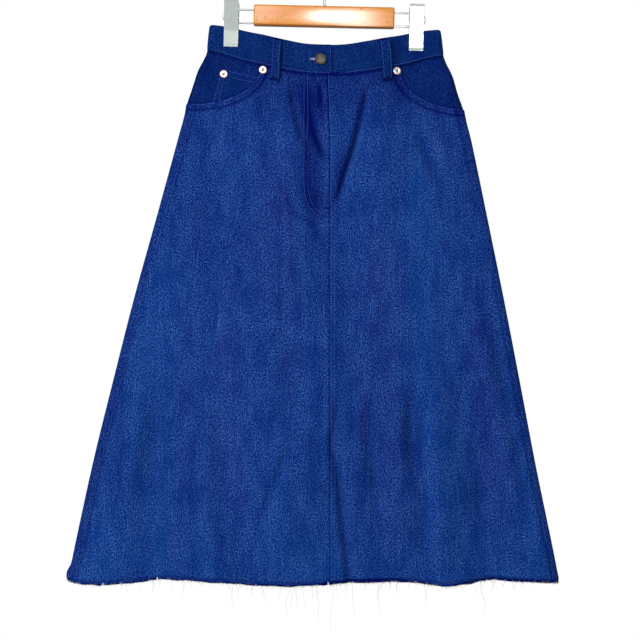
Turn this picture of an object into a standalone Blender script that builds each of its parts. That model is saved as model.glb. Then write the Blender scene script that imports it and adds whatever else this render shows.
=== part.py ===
"""A raw-hem denim skirt hung flat from a wooden clip hanger.

Blender 4.5, metres, +Z up. The origin is the inside of the hook's crown, where the hook rests on a rail.
The front of the skirt looks along -Y, and +X is the viewer's right, which is the wearer's left.
Sizes are in millimetres in the tables and constants, and MM turns them into metres when a shape is made.
"""

import math
import random
from collections import namedtuple

import bmesh
import bpy
from mathutils import Matrix, Vector

MM = 0.001
GAP = 0.3  # between neighbouring pieces

# ---- the skirt's driving sizes -------------------------------------------------------------------
WAIST_Z = -107.4  # height of the waist's top edge at the sides
BAND = 37.0  # waistband depth at the sides
LENGTH = 772.0  # waist to hem along the side
FRAY = 5.5  # loose strip below the hem's stay stitching
HEM_GAP = 0.8
PANEL_FOOT = LENGTH - FRAY - HEM_GAP
FRONT, BACK = 1, -1

# Thicknesses, as distances out from the cloth's base surface.
Layer = namedtuple("Layer", "low high")
PANEL = Layer(0.0, 1.2)
WAISTBAND = Layer(-0.6, 1.8)
COIN_POCKET = Layer(-1.7, -0.5)
POCKET_FACING = Layer(-3.8, -2.6)
HEM_STRIP = Layer(-0.2, 1.5)
ZIP_TAPE = Layer(-3.0, -2.0)
ZIP_CHAIN = Layer(-5.0, -3.5)
FLY_SHIELD = Layer(-6.8, -5.6)
LOOP_THICKNESS = 2.0
LOOP_WIDTH = 12.7
LOOP_REACH = 59.0  # from the waist's edge down to the loop's foot
LOOP_BOW, LOOP_SEAT = 4.8, 0.5  # room for a belt behind the loop, and the seat of its ends

# One row for each cross-section, by its drop down the side from the waist. half is half the width of the
# base surface, lean its centre to the right, turn the side fold's radius, front and back how far each face
# crowns out beyond that radius, and sag the share of the waist's dip that the section keeps.
Section = namedtuple("Section", "drop half lean turn front back sag")
SECTIONS = (
    Section(0, 159.9, 1.7, 3.2, 11, 10, 1.00),
    Section(37, 164.2, 2.8, 4.0, 12, 10, 1.12),
    Section(46, 167.0, 3.2, 4.6, 12, 11, 1.10),
    Section(65, 176.6, 3.4, 5.6, 13, 12, 1.05),
    Section(88, 183.8, 3.5, 6.4, 14, 13, 0.98),
    Section(112, 192.0, 4.3, 7.0, 14, 14, 0.92),
    Section(130, 196.4, 5.0, 7.2, 15, 14, 0.87),
    Section(158, 203.8, 5.2, 7.6, 15, 15, 0.80),
    Section(270, 230.8, 3.9, 8.6, 16, 16, 0.56),
    Section(382, 257.8, 2.1, 9.6, 17, 17, 0.38),
    Section(494, 282.9, 1.1, 10.4, 18, 18, 0.24),
    Section(606, 307.4, 0.3, 11.2, 19, 19, 0.12),
    Section(718, 331.3, 2.0, 11.8, 19, 19, 0.03),
    Section(775, 342.8, 3.0, 12.0, 19, 19, 0.00),
)

# How far the waist's edge dips between the sides, by its place from the centre (0) to the side (1).
Dip = namedtuple("Dip", "place dip")
WAIST_DIP = (
    Dip(0.00, 26.5),
    Dip(0.17, 25.6),
    Dip(0.35, 20.5),
    Dip(0.52, 14.5),
    Dip(0.69, 8.2),
    Dip(0.86, 2.4),
    Dip(1.00, 0.0),
)

# How far down the waistband reaches, by the station from the centre (0) to the side's turn (1).
Foot = namedtuple("Foot", "place drop")
BAND_FOOT = (
    Foot(0.00, 38.3),
    Foot(0.18, 38.2),
    Foot(0.36, 39.5),
    Foot(0.55, 40.3),
    Foot(0.78, 40.0),
    Foot(0.91, 38.1),
    Foot(1.00, BAND),
)

# The raw hem's cut: how far it falls below level, by its place across, viewer's left (-1) to right (1).
Fall = namedtuple("Fall", "place front back")
HEM_FALL = (
    Fall(-1.00, 6.0, 6.0),
    Fall(-0.92, 13.8, 8.0),
    Fall(-0.81, 11.8, 7.0),
    Fall(-0.71, 8.1, 4.0),
    Fall(-0.61, 3.8, 3.0),
    Fall(-0.50, 3.8, 4.0),
    Fall(-0.24, 5.7, 6.0),
    Fall(-0.07, 6.1, 4.0),
    Fall(0.09, 2.6, 3.0),
    Fall(0.17, 1.1, 3.0),
    Fall(0.33, -2.2, 2.0),
    Fall(0.41, -0.6, 1.0),
    Fall(0.535, 2.8, 0.0),
    Fall(0.62, -0.6, -1.0),
    Fall(0.73, -4.9, -2.0),
    Fall(0.82, -3.6, -3.0),
    Fall(0.925, -3.2, -3.0),
    Fall(1.00, -2.0, -2.0),
)
HEM_FROM = 110.0  # the hem's fall starts to show this far down

# Soft folds: a trough (negative height) or roll along a line from (x0, drop0) to (x1, drop1). A fold that
# ends at the hem keeps its height there, and any other fades out. width is half the fold's spread at its
# foot.
Fold = namedtuple("Fold", "name face x0 drop0 x1 drop1 width height")
FOLDS = (
    Fold("fly trough, right", FRONT, -50, 45, 0, 185, 12, -5.5),
    Fold("fly trough, left", FRONT, 70, 55, 28, 235, 11, -5.5),
    Fold("fly flare", FRONT, -28, 180, -16, 260, 12, -2.5),
    Fold("left hip trough", FRONT, 131, 115, 172, 265, 14, -2.5),
    Fold("right roll", FRONT, -214, 290, -300, LENGTH, 34, 7.0),
    Fold("right trough", FRONT, -236, 360, -212, LENGTH, 32, -7.5),
    Fold("middle roll", FRONT, -20, 500, -50, LENGTH, 48, 8.0),
    Fold("middle slant", FRONT, -26, 560, -88, 700, 13, -3.5),
    Fold("seam trough", FRONT, 15, 520, 56, LENGTH, 17, -6.5),
    Fold("left inner trough", FRONT, 72, 460, 84, 700, 14, -3.5),
    Fold("left trough", FRONT, 124, 440, 152, LENGTH, 20, -7.0),
    Fold("left roll", FRONT, 138, 340, 190, LENGTH, 26, 8.5),
    Fold("left outer trough", FRONT, 226, 560, 250, LENGTH, 24, -8.0),
    Fold("left side trough", FRONT, 234, 350, 302, 690, 15, -5.0),
    Fold("left edge roll", FRONT, 286, 620, 312, LENGTH, 20, 5.0),
    Fold("back waist trough, right", BACK, -46, 45, -8, 190, 13, -4.0),
    Fold("back waist trough, left", BACK, 58, 50, 22, 200, 12, -4.0),
    Fold("back right roll", BACK, -118, 190, -172, LENGTH, 32, 7.0),
    Fold("back right trough", BACK, -58, 260, -82, LENGTH, 27, -8.0),
    Fold("back middle roll", BACK, 14, 300, 18, LENGTH, 36, 7.5),
    Fold("back left trough", BACK, 88, 230, 118, LENGTH, 26, -8.0),
    Fold("back left roll", BACK, 142, 260, 212, LENGTH, 30, 7.0),
    Fold("back outer trough, right", BACK, -190, 350, -256, LENGTH, 26, -6.5),
    Fold("back outer trough, left", BACK, 226, 400, 282, LENGTH, 22, -5.5),
)
FOLD_RISE = 0.45  # share of a fold's line over which it grows to its height

# ---- places on the front -------------------------------------------------------------------------
CENTRE = 10.6  # x of the middle of the front's layout at the waist
Seam = namedtuple("Seam", "drop x")
CENTRE_SEAM = (
    Seam(37, 5.8),
    Seam(85, 8.5),
    Seam(130, 11.0),
    Seam(215, 13.0),
    Seam(450, 17.5),
    Seam(775, 24.8),
)
SEAM_LAP = (10.0, 5.0)  # the left front's columns under the right front's edge
FLY_DROP = 215.0  # the fly's bottom end
# The strips behind the fly: each one's offset from the centre seam, its width, and its ends' falls below the
# waist's corners.
Strip = namedtuple("Strip", "offset width top bottom")
TAPE_STRIP = Strip(-4.0, 30.0, 69.5, 209.0)
CHAIN_STRIP = Strip(-4.0, 5.0, 84.5, 205.0)
SLIDER_STRIP = Strip(-4.0, 8.0, 70.5, 84.2)
SHIELD_STRIP = Strip(-2.0, 38.0, 69.5, FLY_DROP)
# A pocket mouth is a quarter ellipse. Its centre lies this far to the side of CENTRE, and this far below the
# waist's corners.
SCOOP_SIDE, SCOOP_TOP = 190.0, 60.0
SCOOP_ACROSS, SCOOP_DOWN = 93.0, 52.0  # its half axes
FACING_MARGIN = 12.0  # the facing's reach behind the pocket mouth
LOOPS = (  # name, face, x from the layout's centre at the waist and at the loop's foot
    ("belt_loop_front_right", FRONT, -74.9, -76.8),
    ("belt_loop_front_left", FRONT, 72.6, 78.5),
    ("belt_loop_back_right", BACK, -84.0, -88.0),
    ("belt_loop_back_middle", BACK, 0.0, 0.0),
    ("belt_loop_back_left", BACK, 84.0, 88.0),
)
BAND_END = 12.0  # x of the waistband's buttoned end
UNDERLAP = 30.0  # the other end's reach behind it
BUTTON_X, BUTTON_FALL, BUTTON_RADIUS = -3.6, 47.4, 8.15
SHANK_RADIUS, BUTTONHOLE = 2.6, 17.0
BUTTONHOLE_SLIT = 1.4
RIVETS = (  # name, x, fall below the waist's corners, and the outer face that it sits on
    ("rivet_right_pocket", -83.2, 63.8, PANEL.high),
    ("rivet_left_pocket", 102.6, 60.1, PANEL.high),
    ("rivet_coin_pocket", -138.4, 69.2, COIN_POCKET.high),
)
RIVET_RADIUS, RIVET_SEAT = 5.9, 0.8
COIN_OUTER, COIN_INNER = (-141.0, 61.0), (-84.0, 74.3)  # x and fall of the ends of its mouth

# ---- the hanger ----------------------------------------------------------------------------------
BAR_LENGTH, BAR_HEIGHT, BAR_DEPTH = 196.8, 29.4, 13.0
BAR_TOP = -78.0
HOOK_WIRE, HOOK_INSIDE = 1.5, 20.0  # wire radius, and the hook's inside radius
FRAME_WIRE = 1.2
FRAME_TOP, FRAME_BOTTOM = -85.2, -103.8  # the two runs of each side's wire loop
FRAME_REACH = 142.0
CLIP_X, CLIP_WIDTH, CLIP_PLATE = 129.5, 20.2, 1.2
CLIP_TOP, CLIP_FOOT = -73.8, -138.2
SPRING_LENGTH = 10.0
GRIP_DEPTH = 1.5  # the base surface's distance from the mid plane where a clip holds it
GRIP_SPREAD = 34.0
GRIP_FADE = (12.0, 125.0)  # drops over which the clips' hold dies away


def smooth(t):
    t = min(1.0, max(0.0, t))
    return t * t * (3 - 2 * t)


def read(rows, column, at):
    """The column's value at a place between the rows, on a smooth curve through them."""
    keys = [row[0] for row in rows]
    values = [getattr(row, column) for row in rows]
    at = min(keys[-1], max(keys[0], at))
    i = max(k for k in range(len(keys) - 1) if keys[k] <= at)
    slopes = []
    for k in (i, i + 1):
        a, b = max(0, k - 1), min(len(keys) - 1, k + 1)
        slopes.append((values[b] - values[a]) / (keys[b] - keys[a]))
    span = keys[i + 1] - keys[i]
    t = (at - keys[i]) / span
    ends = values[i] * (1 + 2 * t) * (1 - t) ** 2 + values[i + 1] * t * t * (3 - 2 * t)
    return ends + span * (slopes[0] * t * (1 - t) ** 2 - slopes[1] * t * t * (1 - t))


def section(drop, column):
    return read(SECTIONS, column, drop)


def flat_half(drop):
    """Half the width of a section between the side turns."""
    return section(drop, "half") - section(drop, "turn")


def station_at(x, drop):
    return (x - section(drop, "lean")) / flat_half(drop)


def band_foot(station):
    return read(BAND_FOOT, "drop", min(1.0, abs(station)))


def centre_seam(drop):
    return read(CENTRE_SEAM, "x", drop)


def fold_height(fold, x, drop):
    """How far one fold lifts the cloth at a point."""
    along, down = fold.x1 - fold.x0, fold.drop1 - fold.drop0
    length = math.hypot(along, down)
    t = ((x - fold.x0) * along + (drop - fold.drop0) * down) / length**2
    off = ((x - fold.x0) * down - (drop - fold.drop0) * along) / length
    grown = smooth(t / FOLD_RISE)
    if fold.drop1 < LENGTH:
        grown *= smooth((1 - t) / FOLD_RISE)
    spread = fold.width * (0.6 + 0.4 * min(1.0, max(0.0, t)))
    return fold.height * grown * math.exp(-((off / spread) ** 2))


def depth(place, drop, face):
    """The base surface's distance from the mid plane, with its crown and folds. place is -1 to 1."""
    x = section(drop, "lean") + flat_half(drop) * place
    crown = section(drop, "front" if face == FRONT else "back") * (1 - abs(place) ** 3) ** 2
    folds = sum(fold_height(f, x, drop) for f in FOLDS if f.face == face)
    free = section(drop, "turn") + crown + folds * (1 - abs(place) ** 12)
    hold = math.exp(-(((abs(x) - CLIP_X) / GRIP_SPREAD) ** 4))
    hold *= 1 - smooth((drop - GRIP_FADE[0]) / (GRIP_FADE[1] - GRIP_FADE[0]))
    return free + (GRIP_DEPTH - free) * hold


def sag(place, drop, face):
    """How far a point lies below the drop of its section at the side."""
    waist = read(WAIST_DIP, "dip", min(1.0, abs(place))) * section(drop, "sag")
    share = max(0.0, (drop - HEM_FROM) / (LENGTH - HEM_FROM))
    hem = read(HEM_FALL, "front" if face == FRONT else "back", place)
    return waist + hem * share


def base(station, drop, face):
    """A point of the base surface. Station runs from 0 at the centre to 1 where the side turns, and to 2 at
    the side seam. It is negative to the viewer's left."""
    turn, flat = section(drop, "turn"), flat_half(drop)
    place = min(1.0, max(-1.0, station))
    angle = (abs(station) - abs(place)) * math.pi / 2
    x = section(drop, "lean") + flat * place + math.copysign(turn * math.sin(angle), station)
    y = GAP / 2 + (depth(place, drop, face) - GAP / 2) * math.cos(angle)
    width = place * (flat + turn * math.sin(angle)) / (flat + turn)
    return Vector((x, -face * y, WAIST_Z - drop - sag(width, drop, face)))


def on_cloth(station, drop, face, rise):
    """A point that stands rise out from the base surface."""
    step = 0.004
    across = base(station + step, drop, face) - base(station - step, drop, face)
    down = base(station, drop + 1, face) - base(station, drop - 1, face)
    normal = down.cross(across) * face
    return base(station, drop, face) + normal.normalized() * rise


def find(x, fall, face):
    """The station and drop of the point at x, and at this fall below the waist's corners."""
    drop = fall
    for _ in range(12):
        station = station_at(x, drop)
        drop = fall - sag(station * flat_half(drop) / section(drop, "half"), drop, face)
    return station, drop


def lay(x, fall, face, rise):
    station, drop = find(x, fall, face)
    return on_cloth(station, drop, face, rise)


def scoop(x, side, margin=0.0):
    """The pocket mouth's fall at x, on the viewer's left (-1) or right (1). None is nearer the centre."""
    out = side * (x - CENTRE)
    across, down = SCOOP_ACROSS + margin, SCOOP_DOWN + margin
    share = (SCOOP_SIDE - out) / across
    if share >= 1:
        return None
    return SCOOP_TOP + down * math.sqrt(1 - max(0.0, share) ** 2)


def mouth_drop(station, side, margin=0.0):
    """The drop at which a column of the cloth crosses the pocket mouth's line."""
    low, high = BAND, BAND + SCOOP_TOP + SCOOP_DOWN
    for _ in range(30):
        drop = (low + high) / 2
        point = base(station, drop, FRONT)
        edge = scoop(point.x, side, margin)
        if edge is not None and WAIST_Z - point.z > edge:
            high = drop
        else:
            low = drop
    return low


def steps(first, last, count, grading=1.0):
    """Evenly spaced values, or with a grading above 1 ones that start closer together."""
    return [first + (last - first) * (i / count) ** grading for i in range(count + 1)]


# ---- making objects ------------------------------------------------------------------------------
def material(name, colour, roughness, metallic=0.0):
    made = bpy.data.materials.new(name)
    made.use_nodes = True
    shader = made.node_tree.nodes["Principled BSDF"]
    shader.inputs["Base Color"].default_value = (*colour, 1)
    shader.inputs["Roughness"].default_value = roughness
    shader.inputs["Metallic"].default_value = metallic
    return made


def add_object(name, bm, finish):
    mesh = bpy.data.meshes.new(name)
    bm.to_mesh(mesh)
    bm.free()
    mesh.shade_smooth()
    mesh.set_sharp_from_angle(angle=math.radians(40))
    made = bpy.data.objects.new(name, mesh)
    bpy.context.scene.collection.objects.link(made)
    made.data.materials.append(finish)
    return made


def sheet_mesh(columns, rows, place):
    """A grid whose vertex in column i and row j stands at place(i, j), in metres, its front outwards."""
    bm = bmesh.new()
    made = bmesh.ops.create_grid(bm, x_segments=columns, y_segments=rows, size=1)
    for vert in made["verts"]:
        i = round((vert.co.x + 1) / 2 * columns)
        j = round((1 - vert.co.y) / 2 * rows)
        vert.co = place(i, j) * MM
    return bm


def cloth_wall(name, columns, drops, face, layer, finish, lean=None, shift=None):
    """A wall of cloth. drops(column) lists the drops of a column's rows, lean(column, drop) gives its
    station there, and shift(column) moves it outwards."""
    grid = [drops(column) for column in columns]

    def place(i, j):
        at = i if face == FRONT else len(columns) - 1 - i
        column, drop = columns[at], grid[at][j]
        station = lean(column, drop) if lean else column
        return on_cloth(station, drop, face, layer.low + (shift(column) if shift else 0.0))

    bm = sheet_mesh(len(columns) - 1, len(grid[0]) - 1, place)
    made = add_object(name, bm, finish)
    thicken(made, layer.high - layer.low)
    return made


def thicken(made, thickness):
    wall = made.modifiers.new("wall", "SOLIDIFY")
    wall.thickness = thickness * MM
    wall.offset = 1
    wall.use_even_offset = False


# ---- the skirt's panels --------------------------------------------------------------------------
SIDE_TURN = (1.33, 1.67, 2.0)  # stations round the side fold
PANEL_ROWS, BACK_ROWS, ROW_GRADING = 20, 18, 1.4
SEAM_REACH = 0.4  # columns this near the front's centre lean with its seam


def seam_lean(column, drop):
    """The station of a front column, where column 0 runs down the centre seam."""
    return column + station_at(centre_seam(drop), drop) * max(0.0, 1 - abs(column) / SEAM_REACH)


def mouth_column(side, margin=0.0):
    """The column through the pocket mouth's near end, counted outwards."""
    near_end = CENTRE + side * (SCOOP_SIDE - SCOOP_ACROSS - margin)
    return side * find(near_end, SCOOP_TOP, FRONT)[0]


def side_columns(first, side, count):
    """Columns from the pocket mouth's near end out to the side seam, closer together where it is steep."""
    angles = steps(0, math.pi / 2, count)
    spread = [first + (1 - first) * (1 - math.cos(angle)) for angle in angles]
    return [side * s for s in [*spread, *SIDE_TURN]]


def front_columns(side):
    mouth = mouth_column(side)
    millimetre = 1 / flat_half(BAND)
    near = [0.0, *(mm * millimetre for mm in SEAM_LAP[::-1])]
    inner = near + steps(near[-1], mouth - 2 * millimetre, 5)[1:]
    return [side * s for s in inner] + side_columns(mouth, side, 9)


def panel_drops(column, side):
    """The drops of a front panel's rows: from the waistband or the pocket mouth down to the hem."""
    top = band_foot(seam_lean(column, BAND)) + GAP
    if abs(column) >= mouth_column(side):
        top = mouth_drop(column, side)
    return steps(top, PANEL_FOOT, PANEL_ROWS, ROW_GRADING)


def make_fronts(denim):
    right = front_columns(-1)[::-1]
    cloth_wall("front_right", right, lambda c: panel_drops(c, -1), FRONT, PANEL, denim, seam_lean)
    left = front_columns(1)
    millimetre = left[1] / SEAM_LAP[1]
    left = [-mm * millimetre for mm in SEAM_LAP] + left[:1] + [0.6 * millimetre] + left[1:]
    lapped = -(PANEL.high + GAP)
    cloth_wall(
        "front_left",
        left,
        lambda c: panel_drops(c, 1),
        FRONT,
        PANEL,
        denim,
        seam_lean,
        lambda c: lapped if c < millimetre else 0.0,
    )


def make_backs(denim):
    def rows(column):
        return steps(band_foot(column) + GAP, PANEL_FOOT, BACK_ROWS, ROW_GRADING)

    half_seam = GAP / 2 / flat_half(BAND)
    half = [*steps(half_seam, 1.0, 12), *SIDE_TURN]
    cloth_wall("back_left", half, rows, BACK, PANEL, denim)
    cloth_wall("back_right", [-c for c in half[::-1]], rows, BACK, PANEL, denim)


def make_waistband(denim):
    """Three lengths of waistband; the left one runs on under the buttoned end of the right one."""

    def rows(column):
        return steps(0.0, band_foot(column), 3)

    side = list(SIDE_TURN)
    right = [-c for c in side[::-1]] + steps(-1.0, station_at(BAND_END, BAND), 14)
    made = cloth_wall("waistband_right", right, rows, FRONT, WAISTBAND, denim)
    cut_buttonhole(made)
    tucked = -(WAISTBAND.high - WAISTBAND.low + GAP)
    reach = [station_at(BAND_END + mm, BAND) for mm in (-UNDERLAP, -UNDERLAP / 2, 0.6, 6, 12, 24)]
    dips = dict(zip(reach, (1, 1, 1, 0.5, 0, 0)))
    left = reach + steps(reach[-1], 1.0, 11)[1:] + side
    cloth_wall(
        "waistband_left",
        left,
        rows,
        FRONT,
        WAISTBAND,
        denim,
        shift=lambda c: tucked * dips.get(c, 0),
    )
    across = [-c for c in side[::-1]] + steps(-1.0, 1.0, 24) + side
    cloth_wall("waistband_back", across, rows, BACK, WAISTBAND, denim)


def frame_at(x, fall, face, rise):
    """A matrix, in metres, whose +Z leaves the cloth at this place and whose +X runs across it."""
    middle = lay(x, fall, face, rise)
    across = (lay(x + 2, fall, face, rise) - lay(x - 2, fall, face, rise)).normalized() * face
    down = (lay(x, fall + 2, face, rise) - lay(x, fall - 2, face, rise)).normalized()
    out = down.cross(across).normalized()
    made = Matrix((across, out.cross(across), out)).transposed().to_4x4()
    made.translation = middle * MM
    return made


def cut_buttonhole(band):
    """A keyhole buttonhole: an eye round the shank and a slit away from the band's end."""
    reach = 8.0  # the cutter's, through both sides of the band
    bm = bmesh.new()
    eye = SHANK_RADIUS + 0.6
    bmesh.ops.create_cone(
        bm, cap_ends=True, segments=20, radius1=eye * MM, radius2=eye * MM, depth=reach * MM
    )
    slot = bmesh.ops.create_cube(bm, size=1)["verts"]
    bmesh.ops.scale(bm, vec=Vector((BUTTONHOLE, BUTTONHOLE_SLIT, reach)) * MM, verts=slot)
    bmesh.ops.translate(bm, vec=Vector((-BUTTONHOLE / 2, 0, 0)) * MM, verts=slot)
    cutter = add_object("buttonhole_cutter", bm, band.data.materials[0])
    cutter.matrix_world = frame_at(BUTTON_X, BUTTON_FALL, FRONT, 0.6)
    cutter.hide_render = True
    cutter.display_type = "WIRE"
    cut = band.modifiers.new("buttonhole", "BOOLEAN")
    cut.operation = "DIFFERENCE"
    cut.object = cutter
    cut.use_self = True


# ---- pockets, fly and loops ----------------------------------------------------------------------
def facing_columns(side):
    return side_columns(mouth_column(side, FACING_MARGIN), side, 9)


def facing_foot(column, side):
    return mouth_drop(column, side, FACING_MARGIN)


def make_pocket_facings(denim):
    """The piece that shows inside each pocket mouth, sewn to the waistband and the side."""
    for name, side in (("pocket_facing_right", -1), ("pocket_facing_left", 1)):

        def rows(column, side=side):
            return steps(band_foot(column) + GAP, facing_foot(column, side), 7)

        cloth_wall(name, facing_columns(side)[::side], rows, FRONT, POCKET_FACING, denim)


def make_coin_pocket(denim):
    """A small patch on the right facing, from its mouth down to the facing's foot behind the front."""
    outer, top_outer = find(*COIN_OUTER, FRONT)
    inner, top_inner = find(*COIN_INNER, FRONT)
    columns = [outer] + [c for c in facing_columns(-1)[::-1] if outer < c < inner]

    def rows(column):
        top = top_outer + (top_inner - top_outer) * (column - outer) / (inner - outer)
        return steps(top, facing_foot(column, -1), 5)

    cloth_wall("coin_pocket", columns, rows, FRONT, COIN_POCKET, denim)


def fly_strip(name, strip, layer, finish, rows=8):
    """A straight strip that hangs behind the fly, along the centre seam."""

    def place(i, j):
        fall = strip.top + (strip.bottom - strip.top) * j / rows
        x = centre_seam(fall) + strip.offset + strip.width * (i / 2 - 0.5)
        return lay(x, fall, FRONT, layer.low)

    made = add_object(name, sheet_mesh(2, rows, place), finish)
    thicken(made, layer.high - layer.low)


def make_fly(denim, tape, metal):
    """The zip behind the closed fly, its slider at the top, and the shield behind them."""
    fly_strip("zip_tape", TAPE_STRIP, ZIP_TAPE, tape)
    fly_strip("zip_chain", CHAIN_STRIP, ZIP_CHAIN, metal)
    fly_strip("zip_slider", SLIDER_STRIP, ZIP_CHAIN, metal, rows=3)
    fly_strip("fly_shield", SHIELD_STRIP, FLY_SHIELD, denim)


def make_loops(denim):
    """Folded straps from the waist's edge to below the waistband, bowed so that a belt passes behind."""
    rows, top = 12, 0.5
    for name, face, x_top, x_foot in LOOPS:
        centre = CENTRE if face == FRONT else 0.0

        def place(i, j, face=face, x_top=x_top, x_foot=x_foot, centre=centre):
            share = j / rows
            drop = top + (LOOP_REACH - top) * share
            x = centre + x_top + (x_foot - x_top) * share + face * LOOP_WIDTH * (i - 0.5)
            station = station_at(x, drop)
            seat = PANEL.high if drop > band_foot(station) + 3 else WAISTBAND.high
            bow = LOOP_BOW * (1 - (2 * share - 1) ** 4)
            return on_cloth(station, drop, face, seat + LOOP_SEAT + bow)

        made = add_object(name, sheet_mesh(1, rows, place), denim)
        thicken(made, LOOP_THICKNESS)


# ---- the raw hem ---------------------------------------------------------------------------------
Thread = namedtuple("Thread", "place length lean")  # place across, length down and lean to the right
LONG_THREADS = (
    Thread(-0.780, 12, -3),
    Thread(-0.555, 22, 3),
    Thread(-0.335, 34, -4),
    Thread(-0.215, 26, 2),
    Thread(-0.095, 40, -6),
    Thread(-0.045, 30, 1),
    Thread(0.012, 50, 3),
    Thread(0.082, 66, -2),
    Thread(0.142, 22, -1),
    Thread(0.158, 44, 5),
    Thread(0.268, 50, 2),
    Thread(0.292, 24, -9),
    Thread(0.345, 20, 2),
    Thread(0.462, 22, 3),
    Thread(0.478, 28, -3),
    Thread(0.702, 44, 6),
    Thread(0.745, 16, 5),
    Thread(0.862, 14, -8),
)
SHORT_THREADS = 30
THREAD_WIDTH, THREAD_SPACING = 0.8, 0.007


def threads_for(face):
    """The threads on one side of the hem, from left to right. The back has the long ones in mirror order."""
    rng = random.Random(7 if face == FRONT else 19)
    threads = [Thread(face * t.place, t.length, t.lean) for t in LONG_THREADS]
    for k in range(SHORT_THREADS):
        place = -0.94 + 1.88 * (k + rng.uniform(0.2, 0.8)) / SHORT_THREADS
        threads.append(Thread(place, rng.uniform(5, 13), rng.uniform(-3, 3)))
    kept = []
    for thread in sorted(threads):
        if not kept or thread.place - kept[-1].place > THREAD_SPACING:
            kept.append(thread)
    return kept


def make_hem(name, face, finish):
    """The frayed strip below the stay stitching, with its loose threads drawn out of its lower edge."""
    threads = threads_for(face)
    half = THREAD_WIDTH / 2 / section(LENGTH, "half")
    stations = [s * side for side in (-1, 1) for s in SIDE_TURN] + steps(-1, 1, 26)
    stations = [s for s in stations if all(abs(s - place) > 3 * half for place, _, _ in threads)]
    stations = sorted(stations + [place + sign * half for place, _, _ in threads for sign in (-1, 1)])
    top, bottom = LENGTH - FRAY, LENGTH

    def place_at(i, j, rise):
        column = i if face == FRONT else len(stations) - 1 - i
        return on_cloth(stations[column], (top, bottom)[j], face, rise)

    bm = sheet_mesh(len(stations) - 1, 1, lambda i, j: place_at(i, j, HEM_STRIP.low))
    bm.normal_update()
    outward = {vert: vert.normal.copy() for vert in bm.verts}
    made = bmesh.ops.extrude_face_region(bm, geom=bm.faces[:], use_keep_orig=True)
    inner = list(outward)
    for vert in (g for g in made["geom"] if isinstance(g, bmesh.types.BMVert)):
        source = min(inner, key=lambda v: (v.co - vert.co).length_squared)
        vert.co += outward[source] * (HEM_STRIP.high - HEM_STRIP.low) * MM
    bmesh.ops.recalc_face_normals(bm, faces=bm.faces[:])
    draw_threads(bm, threads, face)
    add_object(name, bm, finish)


def draw_threads(bm, threads, face):
    """Extrudes a tapering thread down from the lower edge at each thread's place."""
    feet = [f for f in bm.faces if f.normal.z < -0.8 and f.calc_area() < 6 * THREAD_WIDTH**2 * MM**2]
    for place, length, lean in threads:
        root = on_cloth(place, LENGTH, face, 0.6) * MM
        face_at_root = min(feet, key=lambda f: (f.calc_center_median() - root).length)
        feet.remove(face_at_root)
        segments = 4 if length > 20 else 2 if length > 8 else 1
        tip = face_at_root
        start = tip.calc_center_median()
        for k in range(1, segments + 1):
            made = bmesh.ops.extrude_discrete_faces(bm, faces=[tip])
            tip = made["faces"][0]
            share = k / segments
            sway = math.sin(share * math.pi) * lean * 0.5
            centre = start + Vector((lean * share**2 + sway, -face * 1.5 * share, -length * share)) * MM
            width = THREAD_WIDTH * MM * (1 - 0.65 * share)
            middle = tip.calc_center_median()
            for vert in tip.verts:
                offset = vert.co - middle
                offset.z = 0
                vert.co = centre + offset.normalized() * width * 0.7


# ---- button and rivets ---------------------------------------------------------------------------
def turned(name, profile, frame, finish, segments=20):
    """A solid of revolution from (radius, height) points that start and end on its axis."""
    bm = bmesh.new()
    verts = [bm.verts.new((radius * MM, 0, height * MM)) for radius, height in profile]
    edges = [bm.edges.new(pair) for pair in zip(verts, verts[1:])]
    turn = dict(cent=(0, 0, 0), axis=(0, 0, 1), angle=2 * math.pi)
    bmesh.ops.spin(bm, geom=verts + edges, steps=segments, use_merge=True, **turn)
    bmesh.ops.remove_doubles(bm, verts=bm.verts[:], dist=0.00002)
    bmesh.ops.recalc_face_normals(bm, faces=bm.faces[:])
    made = add_object(name, bm, finish)
    made.matrix_world = frame
    return made


def make_hardware(brass, nickel):
    radius, shank = BUTTON_RADIUS, SHANK_RADIUS
    seat = WAISTBAND.low - WAISTBAND.high  # the shank's foot, just above the underlap
    button = (
        (0, seat), (shank, seat), (shank, 0.5), (radius - 0.8, 0.5), (radius, 1.2), (radius, 2.5),
        (radius - 0.6, 3.2), (radius - 1.5, 3.2), (radius - 2.1, 2.6), (shank, 2.8), (0, 3.0),
    )
    turned("button", button, frame_at(BUTTON_X, BUTTON_FALL, FRONT, WAISTBAND.high), brass, 18)
    ring = RIVET_RADIUS
    rivet = (
        (0, 0), (ring - 0.4, 0), (ring, 0.5), (ring - 0.3, 1.2), (ring - 1.5, 1.7), (ring - 3.0, 1.4),
        (ring - 3.8, 0.8), (ring - 4.1, 1.8), (0, 2.1),
    )
    for name, x, fall, seat in RIVETS:
        turned(name, rivet, frame_at(x, fall, FRONT, seat + RIVET_SEAT), nickel, 14)


# ---- the hanger ----------------------------------------------------------------------------------
def wire(name, points, radius, finish):
    curve = bpy.data.curves.new(name, "CURVE")
    curve.dimensions = "3D"
    curve.bevel_depth = radius * MM
    curve.bevel_resolution = 2
    curve.use_fill_caps = True
    spline = curve.splines.new("POLY")
    spline.points.add(len(points) - 1)
    for slot, (x, y, z) in zip(spline.points, points):
        slot.co = (x * MM, y * MM, z * MM, 1)
    made = bpy.data.objects.new(name, curve)
    bpy.context.scene.collection.objects.link(made)
    curve.materials.append(finish)
    return made


def arc(centre_x, centre_z, radius, first, last, count):
    return [
        (centre_x + radius * math.cos(a), 0.0, centre_z + radius * math.sin(a))
        for a in steps(math.radians(first), math.radians(last), count)
    ]


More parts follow.
